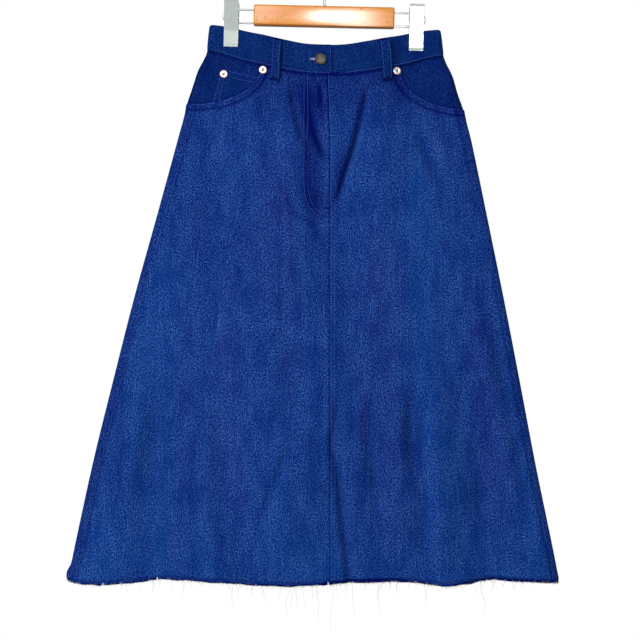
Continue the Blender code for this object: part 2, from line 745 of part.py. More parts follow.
def make_hook(steel):
    """A straight stem, a smooth bend out to the circle, and the circle over to the tip."""
    radius = HOOK_INSIDE + HOOK_WIRE
    circle = arc(0, -HOOK_INSIDE, radius, -40, 205, 20)
    foot, bend = Vector((0, 0, BAR_TOP + GAP)), Vector((0, 0, BAR_TOP + 20))
    start = Vector(circle[0])
    tangent = Vector((math.sin(math.radians(40)), 0, math.cos(math.radians(40))))
    reach = 13.0
    first, second = bend + Vector((0, 0, reach)), start - tangent * reach
    stem = [foot]
    for t in steps(0, 1, 6)[:-1]:
        stem.append(
            bend * (1 - t) ** 3 + first * 3 * t * (1 - t) ** 2 + second * 3 * t * t * (1 - t) + start * t**3
        )
    wire("hook", [tuple(p) for p in stem] + circle, HOOK_WIRE, steel)


def make_bar(wood):
    bm = bmesh.new()
    bmesh.ops.create_cube(bm, size=1)
    bmesh.ops.scale(bm, vec=Vector((BAR_LENGTH, BAR_DEPTH, BAR_HEIGHT)) * MM, verts=bm.verts[:])
    bmesh.ops.translate(bm, vec=Vector((0, 0, BAR_TOP - BAR_HEIGHT / 2)) * MM, verts=bm.verts[:])
    made = add_object("bar", bm, wood)
    bevel = made.modifiers.new("rounded edges", "BEVEL")
    bevel.width = 2.5 * MM
    bevel.segments = 2


def make_side(side_name, side, steel, chrome):
    """One end of the hanger: the wire loop, and the clip that slides on it."""
    middle, radius = (FRAME_TOP + FRAME_BOTTOM) / 2, (FRAME_TOP - FRAME_BOTTOM) / 2
    turn_x = FRAME_REACH - FRAME_WIRE - radius
    inner_x = BAR_LENGTH / 2 + GAP
    ends = [(inner_x, 0, height) for height in (FRAME_TOP, FRAME_BOTTOM)]
    loop = ends[:1] + arc(turn_x, middle, radius, 90, -90, 12) + ends[1:]
    wire(f"wire_loop_{side_name}", [(side * x, y, z) for x, y, z in loop], FRAME_WIRE, steel)
    barrel = radius - FRAME_WIRE - GAP
    make_barrel(f"clip_spring_{side_name}", side * turn_x, -side * SPRING_LENGTH, middle, barrel, steel)
    jaw = GRIP_DEPTH + WAISTBAND.high + GAP
    profile = (  # distance from the mid plane, and height, of the plate's inner face
        (jaw + 0.7, CLIP_FOOT), (jaw, CLIP_FOOT + 5), (jaw, CLIP_FOOT + 24), (jaw + 1.2, FRAME_BOTTOM - 4),
        (barrel + GAP, middle),
        (barrel + 2.2, FRAME_TOP), (barrel + 4.0, CLIP_TOP - 3), (barrel + 5.5, CLIP_TOP),
    )
    for layer, face in (("front", FRONT), ("back", BACK)):
        make_plate(f"clip_{layer}_{side_name}", side * CLIP_X, profile, face, chrome)


def make_barrel(name, x, length, z, radius, finish):
    """The spring between the plates, as one barrel from x to x + length."""
    bm = bmesh.new()
    bmesh.ops.create_cone(
        bm, cap_ends=True, segments=16, radius1=radius * MM, radius2=radius * MM, depth=abs(length) * MM
    )
    bmesh.ops.rotate(bm, cent=(0, 0, 0), matrix=Matrix.Rotation(math.pi / 2, 3, "Y"), verts=bm.verts[:])
    bmesh.ops.translate(bm, vec=Vector((x + length / 2, 0, z)) * MM, verts=bm.verts[:])
    add_object(name, bm, finish)


def make_plate(name, x, profile, face, finish):
    """A pressed plate: the profile's line, drawn out across the clip's width and thickened outwards."""
    bm = bmesh.new()
    left = [bm.verts.new(Vector((x - CLIP_WIDTH / 2, -face * y, z)) * MM) for y, z in profile]
    edges = [bm.edges.new(pair) for pair in zip(left, left[1:])]
    made = bmesh.ops.extrude_edge_only(bm, edges=edges)
    moved = [g for g in made["geom"] if isinstance(g, bmesh.types.BMVert)]
    bmesh.ops.translate(bm, vec=Vector((CLIP_WIDTH, 0, 0)) * MM, verts=moved)
    bmesh.ops.recalc_face_normals(bm, faces=bm.faces[:])
    bm.normal_update()
    if sum(f.normal.y for f in bm.faces) * face > 0:
        bmesh.ops.reverse_faces(bm, faces=bm.faces[:])
    plate = add_object(name, bm, finish)
    thicken(plate, CLIP_PLATE)
    bevel = plate.modifiers.new("rolled edges", "BEVEL")
    bevel.width = 0.35 * MM
    bevel.segments = 1
    bevel.limit_method = "ANGLE"
    bevel.angle_limit = math.radians(50)


def main():
    for old in list(bpy.data.objects):
        bpy.data.objects.remove(old)
    denim = material("denim", (0.012, 0.040, 0.185), 0.85)
    raw_edge = material("frayed denim", (0.008, 0.020, 0.120), 0.9)
    cotton = material("zip tape", (0.02, 0.03, 0.10), 0.9)
    brass = material("antique brass", (0.22, 0.17, 0.10), 0.4, 1.0)
    nickel = material("nickel", (0.75, 0.70, 0.66), 0.25, 1.0)
    steel = material("steel wire", (0.55, 0.55, 0.55), 0.3, 1.0)
    chrome = material("chrome plate", (0.75, 0.78, 0.77), 0.2, 1.0)
    wood = material("varnished wood", (0.70, 0.36, 0.13), 0.4)
    make_fronts(denim)
    make_backs(denim)
    make_waistband(denim)
    make_pocket_facings(denim)
    make_coin_pocket(denim)
    make_fly(denim, cotton, nickel)
    make_loops(denim)
    make_hem("hem_front", FRONT, raw_edge)
    make_hem("hem_back", BACK, raw_edge)
    make_hardware(brass, nickel)
    make_hook(steel)
    make_bar(wood)
    make_side("right", -1, steel, chrome)
    make_side("left", 1, steel, chrome)


main()
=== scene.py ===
"""Looks for a raw-hem denim skirt that hangs from a wooden clip hanger.

The frame is in metres, +Z up, with the front of the skirt towards -Y and the origin inside the hook's crown.
Tables and constants are in millimetres, and MM turns them into metres when a shape is made. The cloth's base
surface is the one that the solids are built on, so each piece of cloth lies in its own solid's place.
"""

import math
import random
from collections import namedtuple

import bmesh
import bpy
import numpy as np
from bpy.props import FloatProperty, FloatVectorProperty, PointerProperty
from bpy.types import Operator, Panel, PropertyGroup
from mathutils import Matrix, Vector


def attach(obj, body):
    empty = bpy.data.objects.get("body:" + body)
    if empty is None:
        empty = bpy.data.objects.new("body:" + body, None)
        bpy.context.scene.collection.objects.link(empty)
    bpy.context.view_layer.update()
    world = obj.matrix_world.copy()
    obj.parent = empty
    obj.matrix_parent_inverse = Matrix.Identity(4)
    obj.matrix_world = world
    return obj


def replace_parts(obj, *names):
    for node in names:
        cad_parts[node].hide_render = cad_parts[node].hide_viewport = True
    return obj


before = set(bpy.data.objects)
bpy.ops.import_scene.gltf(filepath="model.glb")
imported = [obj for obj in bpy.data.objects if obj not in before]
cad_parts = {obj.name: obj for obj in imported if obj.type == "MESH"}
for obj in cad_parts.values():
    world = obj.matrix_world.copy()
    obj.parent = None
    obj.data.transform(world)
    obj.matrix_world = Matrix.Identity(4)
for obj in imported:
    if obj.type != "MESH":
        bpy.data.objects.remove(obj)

bl_info = {
    "name": "Denim Skirt on a Clip Hanger",
    "version": (1, 0, 0),
    "blender": (4, 5, 0),
    "location": "3D View > Sidebar > Skirt",
    "description": "Dresses the skirt's solids with cloth, sewing, a frayed hem, metal and wood",
    "category": "Object",
}

MM = 0.001
GAP = 0.3  # between neighbouring solids
FRONT, BACK = 1, -1

# ---- the base surface, as the solids have it -------------------------------------------------------
WAIST_Z = -107.4  # height of the waist's top edge at the sides
BAND = 37.0  # waistband depth at the sides
LENGTH = 772.0  # waist to hem along the side
FRAY = 5.5  # loose strip below the hem's stay stitching
PANEL_FOOT = LENGTH - FRAY

# Cloth layers, as distances out from the base surface.
Layer = namedtuple("Layer", "low high")
PANEL = Layer(0.0, 1.2)
WAISTBAND = Layer(-0.6, 1.9)
COIN_POCKET = Layer(-0.9, 0.2)
POCKET_FACING = Layer(-2.2, -1.0)
HEM_STRIP = Layer(0.0, 1.1)
ZIP_TAPE = Layer(-3.0, -2.0)
FLY_SHIELD = Layer(-6.8, -5.6)
CHAIN_RISE = -4.2  # middle of the zip's teeth

# One row for each cross-section, by its drop down the side from the waist. half is half the width of the
# base surface, lean its centre to the right, turn the side fold's radius, front and back how far each face
# crowns out beyond that radius, and sag the share of the waist's dip that the section keeps.
Section = namedtuple("Section", "drop half lean turn front back sag")
SECTIONS = (
    Section(0, 159.9, 1.7, 3.2, 11, 10, 1.00),
    Section(37, 164.2, 2.8, 4.0, 12, 10, 1.12),
    Section(46, 167.0, 3.2, 4.6, 12, 11, 1.10),
    Section(65, 176.6, 3.4, 5.6, 13, 12, 1.05),
    Section(88, 183.8, 3.5, 6.4, 14, 13, 0.98),
    Section(112, 192.0, 4.3, 7.0, 14, 14, 0.92),
    Section(130, 196.4, 5.0, 7.2, 15, 14, 0.87),
    Section(158, 203.8, 5.2, 7.6, 15, 15, 0.80),
    Section(270, 230.8, 3.9, 8.6, 16, 16, 0.56),
    Section(382, 257.8, 2.1, 9.6, 17, 17, 0.38),
    Section(494, 282.9, 1.1, 10.4, 18, 18, 0.24),
    Section(606, 307.4, 0.3, 11.2, 19, 19, 0.12),
    Section(718, 331.3, 2.0, 11.8, 19, 19, 0.03),
    Section(775, 342.8, 3.0, 12.0, 19, 19, 0.00),
)

# How far the waist's edge dips between the sides, by its place from the centre (0) to the side (1).
Dip = namedtuple("Dip", "place dip")
WAIST_DIP = (
    Dip(0.00, 26.5), Dip(0.17, 25.6), Dip(0.35, 20.5), Dip(0.52, 14.5), Dip(0.69, 8.2), Dip(0.86, 2.4),
    Dip(1.00, 0.0),
)

# How far down the waistband reaches, by the station from the centre (0) to the side's turn (1).
Foot = namedtuple("Foot", "place drop")
BAND_FOOT = (
    Foot(0.00, 38.3), Foot(0.18, 38.2), Foot(0.36, 39.5), Foot(0.55, 40.3), Foot(0.78, 40.0),
    Foot(0.91, 38.1), Foot(1.00, BAND),
)

# The raw hem's cut: how far it falls below level, by its place across, viewer's left (-1) to right (1).
Fall = namedtuple("Fall", "place front back")
HEM_FALL = (
    Fall(-1.00, 9.5, 6.0),
    Fall(-0.97, 12.4, 7.0),
    Fall(-0.92, 13.8, 8.0),
    Fall(-0.81, 11.8, 7.0),
    Fall(-0.71, 8.1, 4.0),
    Fall(-0.61, 3.8, 3.0),
    Fall(-0.50, 3.8, 4.0),
    Fall(-0.24, 5.7, 6.0),
    Fall(-0.07, 6.1, 4.0),
    Fall(0.09, 2.6, 3.0),
    Fall(0.17, 1.1, 3.0),
    Fall(0.33, -2.2, 2.0),
    Fall(0.41, -0.6, 1.0),
    Fall(0.535, 2.8, 0.0),
    Fall(0.62, -0.6, -1.0),
    Fall(0.73, -4.9, -2.0),
    Fall(0.82, -3.6, -3.0),
    Fall(0.925, -3.2, -3.0),
    Fall(1.00, -2.0, -2.0),
)
HEM_FROM = 110.0  # the hem's fall starts to show this far down
CORNER_LOBE = 4.2  # the hem's right corner curls out by this much
CORNER_ROUND = 2.8  # radius of the waistband's top corners

# Soft folds: a trough (negative height) or roll along a line from (x0, drop0) to (x1, drop1). A fold that
# ends at the hem keeps its height there, and any other fades out. width is half the fold's spread at its
# foot.
Fold = namedtuple("Fold", "name face x0 drop0 x1 drop1 width height")
FOLDS = (
    Fold("fly trough, right", FRONT, -50, 45, 0, 185, 12, -5.5),
    Fold("fly trough, left", FRONT, 70, 55, 28, 235, 11, -5.5),
    Fold("fly flare", FRONT, -28, 180, -16, 260, 12, -2.5),
    Fold("left hip trough", FRONT, 131, 115, 172, 265, 14, -2.5),
    Fold("right roll", FRONT, -214, 290, -300, LENGTH, 34, 7.0),
    Fold("right trough", FRONT, -236, 360, -212, LENGTH, 32, -7.5),
    Fold("middle roll", FRONT, -20, 500, -50, LENGTH, 48, 8.0),
    Fold("middle slant", FRONT, -26, 560, -88, 700, 13, -3.5),
    Fold("seam trough", FRONT, 15, 520, 56, LENGTH, 17, -6.5),
    Fold("left inner trough", FRONT, 72, 460, 84, 700, 14, -3.5),
    Fold("left trough", FRONT, 124, 440, 152, LENGTH, 20, -7.0),
    Fold("left roll", FRONT, 138, 340, 190, LENGTH, 26, 8.5),
    Fold("left outer trough", FRONT, 226, 560, 250, LENGTH, 24, -8.0),
    Fold("left side trough", FRONT, 234, 350, 302, 690, 15, -5.0),
    Fold("left edge roll", FRONT, 286, 620, 312, LENGTH, 20, 5.0),
    Fold("back waist trough, right", BACK, -46, 45, -8, 190, 13, -4.0),
    Fold("back waist trough, left", BACK, 58, 50, 22, 200, 12, -4.0),
    Fold("back right roll", BACK, -118, 190, -172, LENGTH, 32, 7.0),
    Fold("back right trough", BACK, -58, 260, -82, LENGTH, 27, -8.0),
    Fold("back middle roll", BACK, 14, 300, 18, LENGTH, 36, 7.5),
    Fold("back left trough", BACK, 88, 230, 118, LENGTH, 26, -8.0),
    Fold("back left roll", BACK, 142, 260, 212, LENGTH, 30, 7.0),
    Fold("back outer trough, right", BACK, -190, 350, -256, LENGTH, 26, -6.5),
    Fold("back outer trough, left", BACK, 226, 400, 282, LENGTH, 22, -5.5),
)
FOLD_RISE = 0.45  # share of a fold's line over which it grows to its height

# Short pulls that only the shown cloth has, in the same form.
PULLS = (
    Fold("level pull under the loop", FRONT, 60, 97, 103, 102, 4.0, -1.4),
    Fold("waist pull, left", FRONT, 112, 48, 118, 96, 6.0, -0.9),
    Fold("waist pull, right", FRONT, -104, 50, -112, 92, 6.0, -0.8),
    Fold("hip pull, right", FRONT, -150, 128, -116, 240, 8.0, -1.2),
    Fold("hip pull, left", FRONT, 150, 120, 118, 230, 8.0, -1.0),
    Fold("back hip pull, right", BACK, -132, 70, -112, 180, 7.0, -1.1),
    Fold("back hip pull, left", BACK, 128, 80, 108, 200, 7.0, -1.0),
)

# Pleat-like creases that only the shown cloth has. Each stands up to the viewer's left of its line and sinks
# to the right, by height, at width away from it. A line's points are x and drop, from the top down.
Crease = namedtuple("Crease", "name face width height line")
CREASES = (
    Crease("fly, long slant", FRONT, 4.4, 2.8, (
        (59, 56), (55, 80), (49, 111), (41, 149), (31, 183), (17, 238),
    )),
    Crease("fly, by the seam", FRONT, 3.2, 1.7, ((-17, 40), (-8, 53), (-4, 71), (-5, 96))),
    Crease("fly, deep", FRONT, 5.6, 3.7, ((-29, 72), (-19, 107), (-13, 128), (-5, 150), (6, 176))),
    Crease("fly, outer", FRONT, 4.6, 2.0, ((-48, 50), (-44, 87), (-37, 109), (-31, 156))),
    Crease("between the fly rows", FRONT, 3.2, 1.2, ((-22, 126), (-19, 169), (-16, 236))),
    Crease("hooked", FRONT, 5.0, 2.1, ((-48, 203), (-45, 230), (-35, 249), (-18, 254), (-7, 268), (-5, 292))),
    Crease("below the fly", FRONT, 4.6, 1.1, ((25, 238), (18, 292))),
    Crease("hip", FRONT, 7.5, 1.5, ((122, 118), (155, 198), (190, 280))),
    Crease("beside the seam", FRONT, 5.6, 2.6, (
        (23, 495), (25, 535), (19, 574), (27, 605), (34, 660), (43, 731), (49, LENGTH),
    )),
    Crease("middle", FRONT, 8.5, 1.9, ((72, 470), (70, 548), (70, 587), (79, 635), (82, 700))),
    Crease("wide", FRONT, 10.0, 3.0, (
        (130, 470), (127, 552), (132, 606), (145, 660), (148, 710), (162, 752), (164, LENGTH),
    )),
    Crease("outer", FRONT, 10.0, 1.6, ((188, 450), (191, 557), (207, 630))),
    Crease("slant", FRONT, 6.5, 2.0, ((-35, 558), (-59, 632), (-84, 702))),
    Crease("short slant", FRONT, 5.0, 1.1, ((-8, 545), (-18, 608))),
    Crease("side band", FRONT, 12.0, 4.2, ((234, 370), (250, 467), (266, 524), (281, 599), (304, 700))),
    Crease("right, soft", FRONT, 11.0, 1.7, ((-243, 520), (-246, 618), (-252, 710))),
    Crease("right edge", FRONT, 8.0, 1.7, ((-299, 610), (-312, 688), (-322, 762))),
    Crease("seat, right", BACK, 4.4, 2.0, ((-44, 62), (-36, 100), (-22, 140), (-12, 176))),
    Crease("seat, left", BACK, 4.0, 1.8, ((50, 60), (42, 104), (30, 150), (22, 188))),
    Crease("back, right", BACK, 8.0, 2.0, ((-62, 330), (-70, 480), (-74, 620), (-82, LENGTH))),
    Crease("back, left", BACK, 8.5, 2.1, ((92, 300), (101, 430), (108, 600), (119, LENGTH))),
    Crease("back side, right", BACK, 10.0, 2.2, ((-206, 380), (-226, 500), (-241, 620), (-252, 700))),
    Crease("back side, left", BACK, 9.5, 2.0, ((236, 420), (252, 520), (270, 640), (284, LENGTH))),
)
CREASE_FADE = 6.0  # how many of its widths a crease takes to die away at each end
# How strongly the creases' painted shadow and highlight show.
CREASE_SHADOW = 1.15

# Bands of painted sheen, where the colour leans to teal (negative amount) or violet. x and half are at the
# hem, and they narrow with the cloth towards the waist.
Tone = namedtuple("Tone", "x half top foot amount")
TONES = (
    Tone(-290, 26, 260, 790, -0.9),
    Tone(-160, 70, 150, 640, 0.55),
    Tone(-50, 34, 480, 800, -0.30),
    Tone(38, 17, 400, 800, -1.0),
    Tone(112, 34, 220, 760, 0.75),
    Tone(198, 34, 150, 800, -1.0),
    Tone(280, 26, 260, 740, 0.7),
    Tone(326, 12, 500, 800, -0.8),
)

# ---- places on the front ---------------------------------------------------------------------------
CENTRE = 10.6  # x of the middle of the front's layout at the waist
Seam = namedtuple("Seam", "drop x")
CENTRE_SEAM = (
    Seam(37, 5.8), Seam(85, 8.5), Seam(130, 11.0), Seam(215, 13.0), Seam(450, 17.5), Seam(775, 24.8),
)
FLY_DROP = 215.0  # the fly's bottom end
SEAM_REACH = 0.4  # columns this near the front's centre lean with its seam
# A pocket mouth is a quarter ellipse. Its centre lies this far to the side of CENTRE, and this far below the
# waist's corners.
SCOOP_SIDE, SCOOP_TOP = 190.0, 60.0
SCOOP_ACROSS, SCOOP_DOWN = 93.0, 52.0  # its half axes
FACING_MARGIN = 12.0  # the facing's reach behind the pocket mouth
BAND_END, UNDERLAP = 12.0, 30.0  # x of the waistband's buttoned end, and the other end's reach behind it
BUTTON_X, BUTTON_FALL, BUTTON_RADIUS = -3.6, 47.4, 8.15
SHANK_RADIUS, BUTTONHOLE = 2.6, 17.0
COIN_OUTER, COIN_INNER = (-141.0, 61.0), (-84.0, 74.3)  # x and fall of the ends of its mouth
LOOPS = (  # name, face, x from the layout's centre at the waist and at the loop's foot
    ("belt_loop_front_right", FRONT, -74.9, -76.8),
    ("belt_loop_front_left", FRONT, 72.6, 78.5),
    ("belt_loop_back_right", BACK, -84.0, -88.0),
    ("belt_loop_back_middle", BACK, 0.0, 0.0),
    ("belt_loop_back_left", BACK, 84.0, 88.0),
)
LOOP_THICKNESS, LOOP_WIDTH = 2.0, 12.7
LOOP_TOP, LOOP_REACH = 0.5, 59.0  # the drops of a loop's ends
LOOP_BOW, LOOP_SEAT = 4.8, 0.5
RIVETS = (  # name, x, fall below the waist's corners, and the height that it sits at
    ("rivet_right_pocket", -83.2, 63.8, PANEL.high),
    ("rivet_left_pocket", 102.6, 60.1, PANEL.high),
    ("rivet_coin_pocket", -138.4, 69.2, COIN_POCKET.high),
)
RIVET_RADIUS = 5.9

# Lines of sewing on the front, as points of x and fall below the waist's corners.
FLY_OUTER = (
    (-26.2, 68), (-22.6, 227.1), (-20.8, 239), (-17.2, 249.4), (-10.8, 258.9), (-2.4, 265.4), (5.5, 268.4),
    (13.4, 269.6),
)
FLY_INNER = (
    (-21.4, 68), (-17.6, 225.7), (-15.6, 236.8), (-12.3, 246.5), (-7.4, 254.4), (-1.1, 260.2), (5.8, 263.2),
    (12.6, 264.4),
)
COIN_SIDE_ROWS = (((-143.6, 71.5), (-151.3, 110.3)), ((-139.1, 77.2), (-144.2, 110.3)))
COIN_MOUTH_ROWS = (((-131.1, 64.8), (-90, 74.6)), ((-126.6, 74.1), (-95.2, 80.6)))
# The strips behind the fly: each one's offset from the centre seam, its width, and its ends' falls.
Strip = namedtuple("Strip", "offset width top bottom")
TAPE_STRIP = Strip(-4.0, 30.0, 69.5, 209.0)
CHAIN_STRIP = Strip(-4.0, 5.0, 84.5, 205.0)
SLIDER_STRIP = Strip(-4.0, 8.0, 70.5, 84.2)
SHIELD_STRIP = Strip(-2.0, 38.0, 69.5, FLY_DROP)

# ---- the hanger ------------------------------------------------------------------------------------
BAR_LENGTH, BAR_HEIGHT, BAR_DEPTH = 196.8, 29.4, 13.0
BAR_TOP = -78.0
HOOK_WIRE, HOOK_INSIDE = 1.5, 20.0  # wire radius, and the hook's inside radius
FRAME_WIRE = 1.2
FRAME_TOP, FRAME_BOTTOM = -85.2, -103.8  # the two runs of each side's wire loop
FRAME_MIDDLE, FRAME_RADIUS = (FRAME_TOP + FRAME_BOTTOM) / 2, (FRAME_TOP - FRAME_BOTTOM) / 2
FRAME_REACH = 142.0
CLIP_X, CLIP_WIDTH, CLIP_PLATE = 129.5, 20.2, 1.2
CLIP_TOP, CLIP_FOOT = -73.8, -138.2
SPRING_LENGTH, SPRING_TURNS = 10.0, 7
GRIP_DEPTH = 1.5  # the base surface's distance from the mid plane where a clip holds it
GRIP_SPREAD = 34.0
GRIP_FADE = (12.0, 125.0)  # drops over which the clips' hold dies away
SIDES = (("right", -1), ("left", 1))  # the wearer's, and the sign of x


# ---- settings --------------------------------------------------------------------------------------
def colour(name, description, default):
    return FloatVectorProperty(
        name=name, description=description, default=default, subtype="COLOR", size=3, min=0, max=1
    )


def number(name, description, default, **kind):
    return FloatProperty(name=name, description=description, default=default, **kind)


def size(name, description, default):
    """A length. The default is in millimetres."""
    return number(name, description, default * MM, min=0, unit="LENGTH")


class SkirtCloth(PropertyGroup):
    warp: colour("Warp", "Colour of the dyed warp, which shows most", (0.0006, 0.033, 0.255))
    weft: colour("Weft", "Colour of the paler specks between the warp yarns", (0.058, 0.180, 0.600))
    # Violet and teal colour both the dye's random drift and the painted sheen bands of TONES.
    violet: colour("Violet drift", "Where the dye leans to violet", (0.013, 0.024, 0.250))
    teal: colour("Teal drift", "Where the dye leans to teal", (0.000, 0.052, 0.310))
    band: colour("Waistband", "Colour of the waistband and facings", (0.000, 0.021, 0.140))
    reverse: colour("Reverse", "Colour of the cloth's pale inner side", (0.22, 0.26, 0.36))
    # The dark navy that painted shade mixes in, in creases, folds, along seams and in the hem's dark band;
    # the hem's warp ends take it too.
    deep: colour("Deep", "Colour of the cloth in its creases and tight folds", (0.001, 0.005, 0.125))
    twill: size("Twill pitch", "Distance between the twill's slanting lines", 0.62)


class SkirtSewing(PropertyGroup):
    thread: colour("Thread", "Colour of the topstitching", (0.085, 0.24, 0.90))
    dark_thread: colour("Dark thread", "Colour of the bar tacks", (0.001, 0.004, 0.085))
    loose: colour("Loose threads", "Colour of the undyed weft at the hem", (0.92, 0.91, 0.86))
    pitch: size("Stitch pitch", "Distance from one stitch to the next", 3.2)
    length: size("Stitch length", "Length of the thread that shows in one stitch", 2.3)
    width: size("Thread width", "Thickness of the sewing thread", 0.85)


class SkirtHanger(PropertyGroup):
    wood: colour("Wood", "Varnished wood between the grain lines", (0.97, 0.365, 0.032))
    grain: colour("Grain", "Darker grain lines", (0.86, 0.25, 0.016))
    brass: colour("Brass", "Antique brass of the button", (0.060, 0.053, 0.044))
    copper: colour("Copper", "Rim of the rivets", (0.62, 0.34, 0.27))
    # The rivet domes' bright metal, near white so that it also stands for their painted highlight.
    bright: colour("Bright metal", "Domed ring of the rivets", (0.95, 0.90, 0.88))
    plate: colour("Plate", "Satin plate of the clips", (0.61, 0.69, 0.65))
    wire: colour("Wire", "Steel wire of the hook and loops", (0.40, 0.40, 0.41))


class SkirtStudio(PropertyGroup):
    distance: number("Camera distance", "From the skirt", 2.2, unit="LENGTH")
    height: number("Camera height", "Above the hook's crown", -0.517, unit="LENGTH")
    roll: number("Roll", "Camera roll", math.radians(1.25), subtype="ANGLE")
    floor: number("Floor", "Height of the floor", -1.45, unit="LENGTH")
    key: number("Key light", "Power of the large left light", 48, unit="POWER")
    glare: number("Glare", "Power of the light seen in varnish and metal", 20, unit="POWER")
    sky: number("Surround", "How much the surround lights the skirt", 0.34, min=0)


# ---- shaping the cloth -----------------------------------------------------------------------------
def smooth(t):
    t = np.clip(t, 0.0, 1.0)
    return t * t * (3 - 2 * t)


def bump(distance, width):
    """A soft hump, 1 at no distance."""
    return np.exp(-((distance / width) ** 2))


def through(keys, values, at):
    """Values at places between the keys, on a smooth curve through the ones given."""
    keys, values = np.array(keys, float), np.array(values, float)
    last = len(keys) - 1
    before, after = np.maximum(np.arange(last + 1) - 1, 0), np.minimum(np.arange(last + 1) + 1, last)
    slopes = (values[after] - values[before]) / (keys[after] - keys[before])
    at = np.clip(at, keys[0], keys[-1])
    i = np.clip(np.searchsorted(keys, at, side="right") - 1, 0, last - 1)
    span = keys[i + 1] - keys[i]
    t = (at - keys[i]) / span
    ends = values[i] * (1 + 2 * t) * (1 - t) ** 2 + values[i + 1] * t * t * (3 - 2 * t)
    return ends + span * (slopes[i] * t * (1 - t) ** 2 - slopes[i + 1] * t * t * (1 - t))


def read(rows, column, at):
    """One column of a table, at places between its rows."""
    return through([row[0] for row in rows], [getattr(row, column) for row in rows], at)


def section(drop, column):
    return read(SECTIONS, column, drop)


def flat_half(drop):
    """Half the width of a section between the side turns."""
    return section(drop, "half") - section(drop, "turn")


def station_at(x, drop):
    return (x - section(drop, "lean")) / flat_half(drop)


def band_foot(station):
    return read(BAND_FOOT, "drop", np.minimum(1.0, np.abs(station)))


def centre_seam(drop):
    return read(CENTRE_SEAM, "x", drop)


def fold_height(fold, x, drop):
    """How far one fold lifts the cloth."""
    along, down = fold.x1 - fold.x0, fold.drop1 - fold.drop0
    length = math.hypot(along, down)
    t = ((x - fold.x0) * along + (drop - fold.drop0) * down) / length**2
    off = ((x - fold.x0) * down - (drop - fold.drop0) * along) / length
    grown = smooth(t / FOLD_RISE)
    if fold.drop1 < LENGTH:
        grown = grown * smooth((1 - t) / FOLD_RISE)
    spread = fold.width * (0.6 + 0.4 * np.clip(t, 0.0, 1.0))
    return fold.height * grown * bump(off, spread)


def crease_place(crease, x, drop):
    """How far points lie to the right of a crease's line, in its widths, and how full it is there."""
    (x0, drop0), (x1, drop1) = crease.line[0], crease.line[-1]
    fade = CREASE_FADE * crease.width
    slant = math.hypot(x1 - x0, drop1 - drop0) / (drop1 - drop0)
    off = x - through([point[1] for point in crease.line], [point[0] for point in crease.line], drop)
    full = smooth((drop - drop0) / fade)
    if drop1 < LENGTH:
        full = full * smooth((drop1 - drop) / fade)
    return off / slant / crease.width, full


def crease_height(crease, x, drop):
    off, full = crease_place(crease, x, drop)
    return -crease.height * full * off * np.exp(0.5 - off**2 / 2)


def crease_shade(x, drop, face):
    """The painted shadow along the creases' steep sides, and a painted highlight (negative) on the rise
    beyond it.
    """
    shade = np.zeros_like(x)
    for crease in CREASES:
        if crease.face == face:
            off, full = crease_place(crease, x, drop)
            line = bump(off - 0.2, 1.1) - 0.5 * bump(off - 2.4, 0.9)
            shade += CREASE_SHADOW * (crease.height / crease.width) ** 2 * full * line
    return shade



def tone_at(x, drop):
    """How far the painted sheen leans the colour to violet (1) or teal (-1), with a lean to teal towards the
    hem.
    """
    spread = section(drop, "half") / section(LENGTH, "half")
    tone = np.zeros_like(x)
    for t in TONES:
        full = smooth((drop - t.top) / 140) * smooth((t.foot + 60 - drop) / 120)
        tone += t.amount * full * bump(x - t.x * spread, t.half)
    return np.clip(tone - 0.5 * smooth((drop - 640) / 110), -1, 1)


def depth(place, drop, face):
    """The base surface's distance from the mid plane, with its crown, folds and creases."""
    x = section(drop, "lean") + flat_half(drop) * place
    crown = section(drop, "front" if face == FRONT else "back") * (1 - np.abs(place) ** 3) ** 2
    folds = sum(fold_height(f, x, drop) for f in FOLDS + PULLS if f.face == face)
    folds = folds + sum(crease_height(c, x, drop) for c in CREASES if c.face == face)
    free = section(drop, "turn") + crown + folds * (1 - np.abs(place) ** 12)
    hold = np.exp(-(((np.abs(x) - CLIP_X) / GRIP_SPREAD) ** 4))
    hold = hold * (1 - smooth((drop - GRIP_FADE[0]) / (GRIP_FADE[1] - GRIP_FADE[0])))
    return free + (GRIP_DEPTH - free) * hold


def sag(place, drop, face):
    """How far a point lies below the drop of its section at the side."""
    waist = read(WAIST_DIP, "dip", np.minimum(1.0, np.abs(place))) * section(drop, "sag")
    share = np.maximum(0.0, (drop - HEM_FROM) / (LENGTH - HEM_FROM))
    return waist + read(HEM_FALL, "front" if face == FRONT else "back", place) * share


def base(station, drop, face):
    """Points of the base surface. Station runs from 0 at the centre to 1 where the side turns, and to 2 at
    the side seam. It is negative to the viewer's left."""
    station, drop = np.broadcast_arrays(np.asarray(station, float), np.asarray(drop, float))
    turn, flat = section(drop, "turn"), flat_half(drop)
    place = np.clip(station, -1.0, 1.0)
    angle = (np.abs(station) - np.abs(place)) * np.pi / 2
    x = section(drop, "lean") + flat * place + np.sign(station) * turn * np.sin(angle)
    y = GAP / 2 + (depth(place, drop, face) - GAP / 2) * np.cos(angle)
    width = place * (flat + turn * np.sin(angle)) / (flat + turn)
    lobe = CORNER_LOBE * bump(drop - LENGTH + 7, 8.0) * smooth(-width * 12 - 11)
    corner = CORNER_ROUND - np.clip((1 - np.abs(width)) * (flat + turn), 0, CORNER_ROUND)
    rounded = (CORNER_ROUND - np.sqrt(CORNER_ROUND**2 - corner**2)) * np.exp(-np.maximum(drop, 0) / 5)
    return np.stack((x - lobe, -face * y, WAIST_Z - drop - rounded - sag(width, drop, face)), axis=-1)



def outward(station, drop, face):
    """Unit normals of the base surface."""
    step = 0.004
    across = base(station + step, drop, face) - base(station - step, drop, face)
    down = base(station, drop + 1, face) - base(station, drop - 1, face)
    normal = np.cross(down, across) * face
    return normal / np.linalg.norm(normal, axis=-1, keepdims=True)


